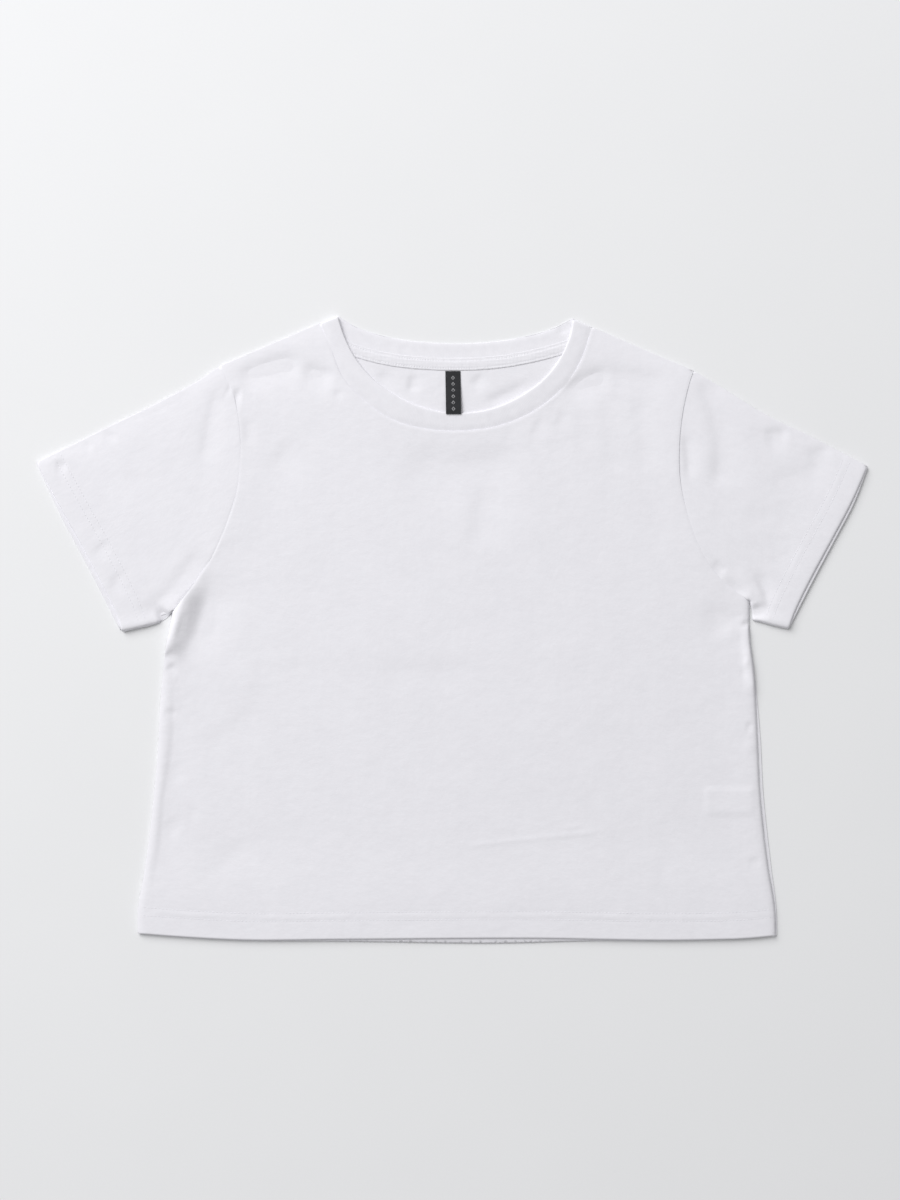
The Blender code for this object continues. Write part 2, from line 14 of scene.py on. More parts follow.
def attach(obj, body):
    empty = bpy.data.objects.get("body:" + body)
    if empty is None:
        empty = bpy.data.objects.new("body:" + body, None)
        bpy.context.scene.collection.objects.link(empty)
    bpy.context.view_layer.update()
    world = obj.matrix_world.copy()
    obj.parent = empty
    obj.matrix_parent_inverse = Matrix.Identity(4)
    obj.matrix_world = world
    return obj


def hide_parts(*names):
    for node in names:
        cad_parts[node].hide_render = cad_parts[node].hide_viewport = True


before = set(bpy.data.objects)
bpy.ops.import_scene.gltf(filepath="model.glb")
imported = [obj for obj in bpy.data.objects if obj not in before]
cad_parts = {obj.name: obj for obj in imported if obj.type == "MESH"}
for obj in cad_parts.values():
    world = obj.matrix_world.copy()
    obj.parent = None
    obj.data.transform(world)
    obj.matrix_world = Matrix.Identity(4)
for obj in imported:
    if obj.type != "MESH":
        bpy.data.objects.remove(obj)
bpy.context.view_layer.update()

MM = 0.001

# Cloth
WALL = 0.7              # thickness of the jersey that shows at an edge
HEM_WALL = 1.7          # the same, turned up double
HEM_DEPTH = 20.0
LEAST_WALL = 0.15       # of a sheet that is pressed between its neighbours
BAND_WALL = 1.5
BAND_FRONT_TOP = 3.15
BAND_STAND = 1.7        # how much higher the band is at the wearer's right fold
BAND_STAND_REACH = 26.0
BAND_SLOPE = 0.45       # fall of the band's face over its width
BAND_WIDTH = 14.5
BAND_FALL = (0.34, 5.0)     # its further fall to the seam and the reach of that
BAND_DIP = (0.06, 0.9)      # the dip in the seam

# Heights of upper faces above the surface, as the frame has them
BACK_TOP = 1.0
BODY_TOP = 2.6
LEAST_TOP = 1.3         # of the front over the back
HEM_TOP = 3.7
SEAM_TOP = 3.3
SHOULDER_TOP = 2.6
NECK_TOP = 3.0
ARMHOLE_TOP = 3.2
SLEEVE_TOP = 2.6
CUFF_TOP = 3.9
LOW_TOP = 4.2

# Reach of each lift into the panel
SEAM_REACH = 34.0
NECK_REACH = 26.0
LOW_REACH = 18.0
ARM_REACH = 30.0
CUFF_REACH = 44.0
SETTLE_START = 4.0      # the front settles from its hem, from this far above it
SETTLE_REACH = 60.0
BACK_RISE = 0.5         # of the back inside the neck
BACK_RISE_FROM = 150.0
BACK_RISE_OVER = 30.0
STEP_FROM = 0.34        # share of an armhole at which the sleeve starts to step down
STEP_OVER = 0.3
SEAM_FADES_AT = 0.62    # share of an armhole at which its seam grows faint
SEAM_FADE = 0.2

# Corners, as (x, y)
NECK_RIGHT = (-91.4, 251.3)
NECK_LEFT = (97.2, 249.4)
COLLAR_RIGHT = (-105.3, 246)
COLLAR_LEFT = (111.8, 242.8)
SHOULDER_RIGHT = (-186.4, 211.2)
SHOULDER_LEFT = (193.3, 207.8)
UNDERARM_RIGHT = (-223.4, 14.5)
UNDERARM_LEFT = (238.4, 23)
CUFF_TIP_RIGHT = (-333, 133.8)
CUFF_TIP_LEFT = (333, 131)
CUFF_LOW_RIGHT = (-263.8, -1.6)
CUFF_LOW_LEFT = (269.6, 0.6)

# Curves between the corners
FRONT_HEM = ((-251.6, -243), (-217, -245.6), (-170, -248), (-90, -247.6),
             (60, -246.7), (198, -248), (240, -246.6), (259.6, -244.6))
BACK_HEM = ((-250.4, -243.6), (-170, -248.6), (-70, -249.8), (35, -251),
            (120, -249), (198, -248.4), (260.6, -244.8))
SIDE_RIGHT = ((-251.6, -243), (-251.6, -226), (-246.5, -195), (-239.6, -142),
              (-235.2, -90), (-232.8, -48), (-229.6, -18), UNDERARM_RIGHT)
SIDE_LEFT = ((259.6, -244.6), (259, -226), (253.4, -190), (247, -130),
             (244.8, -84), (242, -34), (238.4, -2), UNDERARM_LEFT)
BACK_SIDE_LEFT = ((260.6, -244.8), (260.2, -226), (255.8, -190), (249.4, -130),
                  (247, -84), (242.4, -34), (238.6, -2), UNDERARM_LEFT)
ARMHOLE_RIGHT = (UNDERARM_RIGHT, (-206.5, 37), (-194, 56), (-179.5, 88),
                 (-172, 112), (-169.6, 140), (-171, 168), (-175.6, 190),
                 SHOULDER_RIGHT)
ARMHOLE_LEFT = (UNDERARM_LEFT, (216, 40), (203.6, 56), (190, 88),
                (182.8, 118), (181.8, 146), (184.6, 174), (189.2, 195),
                SHOULDER_LEFT)
SLEEVE_FOLD_RIGHT = (SHOULDER_RIGHT, (-201.6, 200.8), (-233.6, 183.2), (-281.6, 159.6),
                     CUFF_TIP_RIGHT)
SLEEVE_FOLD_LEFT = (SHOULDER_LEFT, (214.4, 195.4), (246.4, 175.4), (294.4, 151.6),
                    CUFF_TIP_LEFT)
FRONT_NECK = (COLLAR_RIGHT, (-97.4, 226.4), (-88.4, 203.6), (-73.2, 186),
              (-49, 168.8), (-18, 160.4), (9, 159.3), (34, 162.5),
              (60, 172), (83, 188), (98.8, 206.9), (107, 224.8), COLLAR_LEFT)
FRONT_OPENING = (NECK_RIGHT, (-86.6, 236.2), (-78.8, 220), (-66, 203.8),
                 (-41, 185.6), (-14, 175.6), (10, 173.8), (32, 177.2),
                 (56, 188), (76, 203.4), (90.4, 224.8), (95.6, 239.2), NECK_LEFT)
BACK_OPENING = (NECK_RIGHT, (-79.2, 243.6), (-64, 237.8), (-43, 233),
                (-17, 230.2), (9, 229.5), (35, 231.2), (58, 234.8),
                (81, 241.2), NECK_LEFT)
BACK_NECK = (COLLAR_RIGHT, (-101.5, 237.5), (-93, 229.5), (-80, 223.6),
             (-62, 218.2), (-38, 214), (-14, 212.2), (9, 211.9),
             (35, 213.4), (60, 217.4), (84, 223.4), (98.5, 228.3),
             (107.6, 233.5), COLLAR_LEFT)
# The sleeves' low edges from the cuff to the underarm
LOW_RIGHT = (CUFF_LOW_RIGHT, (-250, 1.6), (-243.5, 3), (-236.8, 5), (-230.6, 8.4),
             UNDERARM_RIGHT)
LOW_LEFT = (CUFF_LOW_LEFT, (256, 3.6), (246.6, 6.4), (241.2, 7.8), (240.6, 14),
            UNDERARM_LEFT)
# Cuffs, and their lower layers, which reach past the upper ones there
CUFF_RIGHT = (CUFF_TIP_RIGHT, (-308, 88), (-297.2, 69), (-289.4, 54.4), (-281.2, 38.6),
              (-273.2, 22.6), (-268, 11), CUFF_LOW_RIGHT)
CUFF_LEFT = (CUFF_TIP_LEFT, (320.6, 103), (304.5, 72.5), (288.1, 42.1), (280.1, 26.3),
             (272.6, 9.3), CUFF_LOW_LEFT)
UNDER_CUFF_RIGHT = ((-333, 133.2), (-311.8, 88), (-298.4, 63), (-282.2, 32),
                    (-266.4, 0.4))
UNDER_CUFF_LEFT = ((333.2, 129.6), (322.4, 101.6), (306.6, 71.4), (290.4, 41),
                   (270.4, 1.6))
UNDER_LOW_RIGHT = ((-266.4, 0.4), (-250, 5.6), (-238.6, 9), (-232, 12),
                   UNDERARM_RIGHT)
UNDER_LOW_LEFT = ((268, 3), (256, 6.2), (247, 9), (243, 10.4), (242.4, 15),
                  UNDERARM_LEFT)

# Creases: the line each follows, its rise, and its reach to the left and right of
# the line as it is walked
FRONT_CREASES = (
    # tuck beside the wearer's right underarm
    (((-190, 50), (-193, 38), (-196.5, 24), (-200, 12), (-204, 0),
      (-210, -15), (-215, -27)), -1.7, 20, 8),
    (((-206, 44), (-212, 30), (-217.5, 14), (-222, 0), (-227, -14),
      (-231, -26)), 4, 10, 6),
    (((-213, 18), (-216.6, 4), (-221, -12)), -0.7, 2.2, 2),
    (((-222, -15), (-230, -24)), -1.02, 2.6, 2.6),
    (((-220, -27), (-229.5, -33.5)), -0.85, 2.6, 2.6),
    (((-231, -64.5), (-220, -67)), -0.51, 2.4, 2.4),
    # the inner edge of the side seam's allowance
    (((-222, -40), (-223.3, -90), (-226.1, -111), (-230.2, -139),
      (-231.6, -153), (-234.4, -181), (-237.8, -198), (-240.6, -219),
      (-244.8, -237)), -0.72, 16, 3.2),
    (((-227, -106), (-218, -126)), -0.42, 4, 4),
    (((-230.5, -152), (-220, -166)), -0.51, 5, 4),
    (((-212, -144), (-202, -145)), -0.20, 4, 4),
    # soft diagonals on the wearer's right
    (((-146, -36), (-160, -64), (-184, -86), (-206, -96)), -0.34, 7, 8),
    (((-158, -169), (-179, -183), (-193, -196), (-208, -204)),
     -0.50, 6, 8),
    # waist creases
    (((-150, -33), (-112, -32.5), (-84, -35)), -0.32, 7, 14),
    (((-72, -34), (-24, -33), (30, -34)), -0.40, 7, 16),
    # centre front, under the band
    (((30, 118), (24, 92), (22, 62)), -0.85, 8, 10),
    (((-44, 142), (-20, 135), (8, 131), (36, 134), (62, 143)),
     -1.45, 13, 17),
    (((0, 128), (-8, 96)), -0.20, 7, 8),
    # shoulders
    (((-174, 200.5), (-152, 209), (-132, 214.5), (-118, 215)), -1.45, 6.5, 5),
    (((-122, 210), (-107, 206), (-92, 200.5)), -1.45, 5.4, 5),
    (((86, 187), (100, 196), (116, 203), (130, 204.5)), -1.55, 6.5, 5),
    (((122, 205), (150, 202.5), (178, 199)), -0.55, 6, 5),
    # short gathers below the band's seam
    (((74, 173), (63, 151)), -0.37, 2.6, 3.4),
    (((90, 177), (84, 160)), -0.37, 2.6, 3.4),
    (((48, 164), (42, 146)), -0.20, 3, 3.6),
    (((-95, 189), (-87, 189.4)), -0.34, 2.2, 2.4),
    # soft upright folds either side of the neck
    (((124, 194), (126, 160), (129, 122)), -0.34, 6, 6),
    (((148, 190), (152, 160), (156, 124)), -0.34, 6, 6),
    (((104, 180), (108, 140)), -0.24, 5, 6),
    (((-122, 152), (-146, 127)), -0.60, 7, 7),
    # gathers at the wearer's right armhole
    (((-175.4, 189), (-168, 188.6)), -0.95, 3.4, 3.8),
    (((-166.4, 172), (-163.4, 158), (-165, 146)), -0.51, 3, 3),
    (((-184, 72), (-166, 62)), -0.27, 5, 6),
    # the wearer's left underarm and side
    (((216, 24), (214, 8), (222, -6)), -1, 9, 11),
    (((237, 8), (237.6, -14), (240.6, -36), (243, -56)), 1.7, 5, 5),
    (((234.6, 8), (235.2, 1)), -1.10, 2.6, 2.6),
    (((228, -2), (233.6, -10), (237, -19)), -0.58, 3.4, 3.6),
    (((233, -26), (238, -26)), 0.71, 4, 4),
    (((230, -33.6), (236, -33.6)), -0.37, 3, 3.4),
    (((234.6, -76), (242, -77.4)), -0.58, 2.6, 3),
    (((237, -88), (240.6, -100)), 0.37, 5, 5),
    (((235.4, -186.4), (248, -184)), -0.58, 2.6, 3.4),
    (((198, -204), (210, -210)), -0.24, 5, 5),
    (((163, -190), (176, -192)), -0.24, 6, 6),
    (((254, -222), (258, -228)), -0.68, 2.4, 2.4),
    # long faint creases low on the front
    (((8, -173.4), (60, -167.6), (120, -161.4)), 0.24, 2, 2),
    (((38, -201.6), (66, -197.2)), 0.20, 1.8, 1.8),
    (((84, -158.6), (108, -157)), 0.14, 1.8, 1.8),
)
RIGHT_SLEEVE_CREASES = (
    # hollow of the fold beside the underarm
    (((-237, 8.4), (-231.4, 11.6), (-226.6, 16.4)), -2.9, 5.6, 2.2),
    (((-184, 195), (-190.4, 182), (-193.8, 168), (-196.4, 152),
      (-199.6, 132)), -0.58, 3.8, 4.4),
    (((-181, 194), (-176, 191.4)), -0.51, 2.6, 2.8),
    (((-203, 192), (-236, 174.6), (-262, 164), (-288, 152),
      (-312, 138)), -0.37, 3.4, 4.6),
    (((-319, 131.4), (-307, 132.6)), -0.85, 3.4, 3),
    (((-296, 146), (-288, 149)), -0.34, 3, 3),
    (((-281, 155.4), (-267, 156)), -0.41, 2.8, 3),
    (((-272, 72), (-281, 65), (-288, 56)), -0.48, 2.6, 3.2),
    (((-262.6, 45.6), (-275.6, 35)), -0.44, 2.4, 3),
    (((-266, 40), (-273, 29)), -0.31, 2.4, 3),
    (((-199, 64), (-212, 48), (-223, 34), (-231, 25), (-240, 16),
      (-250, 9)), -0.85, 7, 6),
    (((-286, 126), (-262, 121), (-240, 120)), -0.17, 6, 6),
)
LEFT_SLEEVE_CREASES = (
    # hollow of the fold beside the underarm
    (((243.4, 6.6), (243, 14), (241.6, 22)), -2.4, 3.4, 2.2),
    (((199.6, 203), (206.6, 184), (212, 164), (215, 144), (212.4, 112)),
     -1.05, 5, 6.4),
    (((186.4, 160), (188.6, 142), (190.6, 118)), -0.90, 2.8, 3),
    (((248, 156), (259, 157), (272, 156)), -1.1, 5, 4.4),
    (((282, 137), (292, 141), (306, 144)), -0.75, 5.4, 5.4),
    (((300, 134), (290, 129.6), (275, 123.4), (252, 116)), -0.44, 5, 5.6),
    (((229, 92), (262, 91)), -0.24, 5, 6),
    (((252, 70), (280, 71)), -0.27, 4.6, 5.6),
    (((282, 66), (266, 58), (250, 52)), -0.20, 5, 5),
    (((241, 48), (248.6, 36), (252.2, 26), (253.6, 17)), -1.25, 4.4, 3),
    (((209, 56), (214, 50), (220, 45)), -0.85, 3.6, 3.6),
    (((219.4, 42.6), (230.4, 32.4), (239, 25)), -0.75, 2.6, 3),
    (((228, 52), (240, 34)), 0.27, 4, 4),
)
BACK_CREASES = (
    (((-31.4, 206), (-32, 198), (-32.8, 189)), -0.85, 6, 3),
    (((-50, 208), (-53, 203), (-60, 198)), -0.60, 3, 5),
    (((14, 195), (20, 199.6), (26, 205)), -0.75, 3.4, 5),
    (((24, 180), (34, 184.6), (46, 190), (64, 199)), -0.95, 4, 6),
    (((-12, 204), (-8, 198), (-8, 190)), -0.22, 6, 3),
)

BAND_CREASES = (
    (((60, 178), (72, 190)), -0.10, 3, 3),
    (((-30, 166), (0, 165), (30, 168)), -0.12, 5, 5),
)
BACK_BAND_CREASES = (
    (((86, 246), (90, 236)), -0.75, 3.4, 3.4),
    (((-60, 232), (0, 224), (60, 231)), -0.06, 4, 4),
)

CARE_LABEL = (203, 241, -147.5, -126.5)
CARE_LABEL_RISE = 0.45
CARE_LABEL_SOFT = 2.6

LABEL_X = (0.7, 1.25)      # of the label's middle, at its top and tip
LABEL_WIDTH = 12.1
LABEL_RISE = ((207.4, 1.9), (196, 2.4), (184, 3.2), (176.6, 3.95), (172.8, 4.05))
LABEL_WALL = 0.5

# How finely the cloth is meshed
RIM_STEP = 1.9
RIM_INSETS = (0.1, 0.25, 0.5, 1.0, 1.7, 2.7, 4.2)
FINE_GRID = 2.75
SLEEVE_GRID = 2.3
HIDDEN_GRID = 7.0


# Rows of stitches, as distances from the edge they follow
HEM_ROWS = (15.0, 21.4)
CUFF_ROWS = (14.8, 20.6)
TAPE_BELOW = 4.3
TAPE_ABOVE = 6.1
TAPE_TOP = 2.0
TAPE_ROWS = (2.3, 8.3)
HEM_STITCH = (2.9, 2.5)     # pitch and length of stitches
CUFF_STITCH = (2.8, 2.4)
TAPE_PITCH = 2.1
TAPE_STITCH = (TAPE_PITCH, 1.5)
LABEL_MARKS = 6

TROUGH_SPREAD = 2.2     # how much slower the far side of a trough comes up
STEEP_SIDE = (-0.64, 0.77)
TAPER = 14.0            # length over which a crease fades at its ends
TAPER_MOST = 0.4        # the same as the largest share of a crease
TAPER_END = 0.15        # share of its rise that a crease keeps at its ends
STRIP_TILT = 0.9        # rise of a sleeve's lower layer to its edge
STRIP_REACH = 6.0
STRIP_DROP = 0.3
STRIP_DEPTH = 18.0
RIM_UNDER = 0.9         # how far a lower layer stays inside the fold over it

# Edges: the reach of a gentle fall, the fall, and the radius of the rim that it ends in
RIM = 0.2               # radius of a sharp fold
EDGE_LOW = 0.35         # where an upper layer ends round a fold
SIDE_RIGHT_EDGE = (6.0, 0.9, RIM)
SIDE_LEFT_EDGE = (5.5, 1.2, 1.8)
SHOULDER_EDGE = (20.0, 0.8, RIM)
FOLD_EDGE = (12.0, 0.8, RIM)
LOW_EDGE = (5.0, 1.1, 1.8)
CUFF_EDGE_RIGHT = (2.0, 0.2, 0.8)
CUFF_EDGE_LEFT = (2.6, 0.7, 0.8)
CUFF_EDGE_RISE = 0.5
BAND_EDGE = (2.6, 0.22, 0.5)
BAND_END_EDGE = (3.0, 0.3, 1.0)
BACK_BAND_EDGE = (3.0, 0.3, RIM)
HEM_ROUND = 1.1
BAND_ROUND = 1.2

# Unevenness: its height, the size of its cells, whether they are turned, its seed
RUFFLES = (
    (0.15, 95, 60, False, 0),
    (0.07, 40, 22, True, 30),
    (0.035, 17, 12, False, 60),
    (0.016, 8, 6, True, 90),
)
TURN_COS = 0.8
TURN_SIN = 0.6
TURN_SCALE = 0.8
HEM_WAVE = 0.10         # soft rise and fall along the hem
HEM_UNEVEN = 0.9
HEM_RIDGE = (0.11, 2.4)     # height and reach of the ridge between two rows of stitches
HEM_PULL = (0.05, 1.0)      # the same of the pull of a row
HEM_GRAIN = (0.05, 5.0)     # and of the small unevenness between them
NECK_RIDGE = (0.04, 1.8, 1.1)   # height, place and reach of the ridge along the band's seam
NECK_DIP = (0.12, 0.9)
ARM_DIP = 0.8           # reach of an armhole's seam
ARM_LEFT_DIP = (0.16, 1.1)

# Spacing of the points that a sheet is meshed from
FINEST = 1.7
BAND_GRID = 1.6
HEM_PITCH = 0.85
INSET_KEPT = 0.97
APART = 0.62
OFF_RIM = 0.6
OFF_OUTLINE = 2.4
CLEAR = 0.05            # of a lower layer, for the face over it

RIB_PITCH = 0.0013
WAVE_UNIT = math.pi / 10.0   # a wave texture of this scale has ridges one unit apart
NOISE_ROUGHNESS = 0.55

# Colours, light and camera
JERSEY_LOW = (0.752, 0.745, 0.786)
JERSEY_HIGH = (0.796, 0.789, 0.830)
RIB_LOW = (0.755, 0.748, 0.789)
RIB_HIGH = (0.790, 0.783, 0.824)
FLOOR_LOW = (0.775, 0.779, 0.792)
FLOOR_HIGH = (0.790, 0.794, 0.807)
FLOOR_Z = -0.0001
LIGHT_PLACE = (-2.45, 2.9, 2.95)
LIGHT_SIZE = 3.6
LIGHT_ENERGY = 262.0
LIGHT_COLOUR = (1.0, 1.0, 1.0)
FILL_STRENGTH = 0.42
FILL_COLOUR = (1.0, 1.0, 1.0)
FLOOR_HALF = 3.0
CAMERA_PLACE = (-0.0016, 0.024, 1.604)
CAMERA_LENS = 60.0
CAMERA_SENSOR = 36.0
SLEEVE_TURN = 0.46      # of the knit on a sleeve
LABEL_LOW = (0.011, 0.012, 0.014)
LABEL_HIGH = (0.018, 0.019, 0.022)
MARK_LOW = (0.22, 0.22, 0.23)
MARK_HIGH = (0.34, 0.34, 0.35)
CARE_LOW = (0.80, 0.80, 0.81)
CARE_HIGH = (0.84, 0.84, 0.85)


def lengths(points):
    """Distance along a polyline to each of its points."""
    steps = np.linalg.norm(np.diff(points, axis=0), axis=1)
    return np.concatenate(([0.0], np.cumsum(steps)))


def smooth(points):
    """Close points on a smooth curve through the given ones."""
    points = np.array(points, dtype=float)
    if len(points) == 2:
        return points
    knots = lengths(points)
    slopes = np.gradient(points, knots, axis=0)
    places = np.linspace(0.0, knots[-1], 12 * len(points))
    span = np.clip(np.searchsorted(knots, places, side="right") - 1, 0, len(knots) - 2)
    width = knots[span + 1] - knots[span]
    s = ((places - knots[span]) / width)[:, None]
    width = width[:, None]
    return ((1 + 2 * s) * (1 - s) ** 2 * points[span] + s * (1 - s) ** 2 * width * slopes[span]
            + s * s * (3 - 2 * s) * points[span + 1] + s * s * (s - 1) * width * slopes[span + 1])


def at_shares(curve, shares):
    """Points at shares of a polyline's length."""
    run = lengths(curve)
    places = np.array(shares) * run[-1]
    return np.column_stack([np.interp(places, run, curve[:, axis])
                            for axis in range(curve.shape[1])])


def evenly(curve, step):
    """Points about a step apart along a polyline, its ends included."""
    count = max(1, round(lengths(curve)[-1] / step))
    return at_shares(curve, np.linspace(0.0, 1.0, count + 1))


def left_of(points):
    """Unit vectors to the left of a polyline at each of its points."""
    heading = np.gradient(points, axis=0)
    heading /= np.linalg.norm(heading, axis=1)[:, None]
    return np.column_stack((-heading[:, 1], heading[:, 0]))


def shifted(points, distance):
    """A polyline moved to its left by a distance."""
    return points + distance * left_of(points)


def measure(points, line):
    """Distance from each point to a polyline, the side it is on and its share along."""
    nearest = np.full(len(points), np.inf)
    side = np.zeros(len(points))
    share = np.zeros(len(points))
    run = lengths(line)
    for index, (start, end) in enumerate(zip(line[:-1], line[1:])):
        along = end - start
        part = np.clip((points - start) @ along / max(along @ along, 1e-9), 0.0, 1.0)
        offset = points - (start + part[:, None] * along)
        gap = np.hypot(offset[:, 0], offset[:, 1])
        closer = gap < nearest
        nearest[closer] = gap[closer]
        side[closer] = (along[0] * offset[:, 1] - along[1] * offset[:, 0])[closer]
        share[closer] = ((run[index] + part * (run[index + 1] - run[index])) / run[-1])[closer]
    return nearest, np.sign(side), share


def distance_to(points, line):
    return measure(points, line)[0]


def ease(value):
    """0 below 0, 1 above 1 and smooth between."""
    value = np.clip(value, 0.0, 1.0)
    return value * value * (3.0 - 2.0 * value)


def wander(plan, width, height, seed):
    """Smooth random values from -1 to 1 over cells of a width and height."""
    chance = np.random.RandomState(seed)
    low = np.array((-400.0, -400.0))
    cells = (plan - low) / (width, height)
    size = (int(800 / width) + 3, int(800 / height) + 3)
    lattice = chance.uniform(-1.0, 1.0, size)
    corner = np.floor(cells).astype(int)
    part = ease(cells - corner)
    x, y = corner[:, 0], corner[:, 1]
    u, v = part[:, 0], part[:, 1]
    return ((lattice[x, y] * (1 - u) + lattice[x + 1, y] * u) * (1 - v)
            + (lattice[x, y + 1] * (1 - u) + lattice[x + 1, y + 1] * u) * v)


def spread_reaches(line, rise, reach_left, reach_right):
    """A trough is steep on its upper left side and comes up slowly on the other."""
    if rise > 0:
        return reach_left, reach_right
    heading = line[-1] - line[0]
    if heading[0] * STEEP_SIDE[1] - heading[1] * STEEP_SIDE[0] > 0:
        return reach_left, max(reach_right, TROUGH_SPREAD * reach_left)
    return max(reach_left, TROUGH_SPREAD * reach_right), reach_right


def in_box(plan, line, margin):
    """Whether each point is in a line's box with a margin round it."""
    low = line.min(axis=0) - margin
    high = line.max(axis=0) + margin
    return np.all((plan > low) & (plan < high), axis=1)


def creased(plan, creases):
    """Sum of the rises of all creases at each point."""
    total = np.zeros(len(plan))
    for points, rise, reach_left, reach_right in creases:
        line = smooth(points)
        near = in_box(plan, line, 3.0 * TROUGH_SPREAD * max(reach_left, reach_right))
        if not near.any():
            continue
        gap, side, share = measure(plan[near], line)
        reach = np.where(side > 0, *spread_reaches(line, rise, reach_left, reach_right))
        to_end = np.minimum(share, 1.0 - share) * lengths(line)[-1]
        widest = max(reach_left, reach_right)
        fading = min(max(TAPER, 2.0 * widest), TAPER_MOST * lengths(line)[-1])
        taper = TAPER_END + (1.0 - TAPER_END) * ease(to_end / fading)
        total[near] += rise * taper * np.exp(-(gap / reach) ** 2)
    return total


def rounded(height, gap, edge, low):
    """A surface that falls gently over a reach, then turns down to a low edge in a rim."""
    reach, fall, rim = edge
    part = 1.0 - np.clip(gap / reach, 0.0, 1.0)
    return rolled(height - fall * part ** 2, gap, rim, low)


def rolled(height, gap, radius, low):
    """A surface that rounds down to a low edge within a radius of it."""
    part = 1.0 - np.clip(gap / radius, 0.0, 1.0)
    return low + (height - low) * np.sqrt(np.maximum(1.0 - part ** 2, 0.0))


def dipped(height, gap, depth, reach):
    """A surface that dips softly into a seam."""
    return height - depth * np.exp(-(gap / reach) ** 2)


def outline_of(*edges):
    """A closed outline from edges that follow each other, without repeated points."""
    points = np.vstack(edges)
    keep = [0]
    for index in range(1, len(points)):
        if np.linalg.norm(points[index] - points[keep[-1]]) > 0.05:
            keep.append(index)
    if np.linalg.norm(points[keep[-1]] - points[keep[0]]) <= 0.05:
        keep.pop()
    return points[keep]


def closed(outline):
    return np.vstack((outline, outline[:1]))


def inside_of(points, outline):
    """Whether each point is inside a closed outline."""
    within = np.zeros(len(points), dtype=bool)
    ring = closed(outline)
    for (x0, y0), (x1, y1) in zip(ring[:-1], ring[1:]):
        if y0 == y1:
            continue
        crosses = (points[:, 1] < y0) != (points[:, 1] < y1)
        reach = x0 + (points[:, 1] - y0) * (x1 - x0) / (y1 - y0)
        within ^= crosses & (points[:, 0] < reach)
    return within


def gap_to_outline(points, outline):
    """Distance from each point to a closed outline."""
    ring = closed(outline)
    nearest = np.full(len(points), np.inf)
    for start, end in zip(ring[:-1], ring[1:]):
        along = end - start
        part = np.clip((points - start) @ along / (along @ along), 0.0, 1.0)
        offset = points - (start + part[:, None] * along)
        nearest = np.minimum(nearest, offset[:, 0] ** 2 + offset[:, 1] ** 2)
    return np.sqrt(nearest)


def kept_in(points, outline, gap):
    """The points inside an outline that are at least a gap from it."""
    points = points[inside_of(points, outline)]
    return points[gap_to_outline(points, outline) >= gap]


def staggered(low, high, step):
    """A grid of points whose rows are staggered."""
    rows = []
    for row, y in enumerate(np.arange(low[1] + step / 2, high[1], step * 0.866)):
        xs = np.arange(low[0] + (step / 2 if row % 2 else step), high[0], step)
        rows.append(np.column_stack((xs, np.full(len(xs), y))))
    return np.vstack(rows)


def gap_to_cloud(points, cloud):
    """Distance from each point to the nearest point of a cloud, in blocks."""
    if len(cloud) == 0:
        return np.full(len(points), np.inf)
    gaps = []
    for block in np.array_split(points, max(1, len(points) // 500)):
        squares = ((block[:, None, :] - cloud[None, :, :]) ** 2).sum(axis=2)
        gaps.append(np.sqrt(squares.min(axis=1)))
    return np.concatenate(gaps)


def sheet_arrays(outline, inner, upper, lower):
    """Vertices and faces of a closed sheet between two surfaces over an outline."""
    flat = [Vector(point) for point in np.vstack((outline, inner))]
    count = len(outline)
    rim = [(index, (index + 1) % count) for index in range(count)]
    points, _, triangles, *_ = delaunay_2d_cdt(flat, rim, [], 1, 1e-5)
    plan = np.array([tuple(point) for point in points])
    size = len(plan)
    vertices = np.vstack((np.column_stack((plan, upper(plan))),
                          np.column_stack((plan, lower(plan)))))
    top = np.array([tuple(triangle) for triangle in triangles])
    edges = np.vstack((top[:, (0, 1)], top[:, (1, 2)], top[:, (2, 0)]))
    used = {tuple(edge) for edge in edges.tolist()}
    walls = sorted((b, a, a + size, b + size) for a, b in used if (b, a) not in used)
    faces = top.tolist() + (top[:, ::-1] + size).tolist() + [list(wall) for wall in walls]
    return vertices, faces


def joined(parts):
    """Several vertex and face lists as one."""
    vertices = []
    faces = []
    start = 0
    for part_vertices, part_faces in parts:
        vertices.append(part_vertices)
        faces += [[index + start for index in face] for face in part_faces]
        start += len(part_vertices)
    return np.vstack(vertices), faces


def add_piece(name, vertices, faces, finish, sharp=50.0):
    """A smooth-shaded piece from points in millimetres, riding on the garment's body."""
    mesh = bpy.data.meshes.new(name)
    mesh.from_pydata((np.asarray(vertices) * MM).tolist(), [], faces)
    mesh.materials.append(finish)
    mesh.shade_smooth()
    mesh.set_sharp_from_angle(angle=math.radians(sharp))
    piece = bpy.data.objects.new(name, mesh)
    bpy.context.collection.objects.link(piece)
    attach(piece, "root")
    return piece


# The curves as close points, as outlines walk them and as distances are taken to them
def line_of(points, step=RIM_STEP):
    return evenly(smooth(points), step)


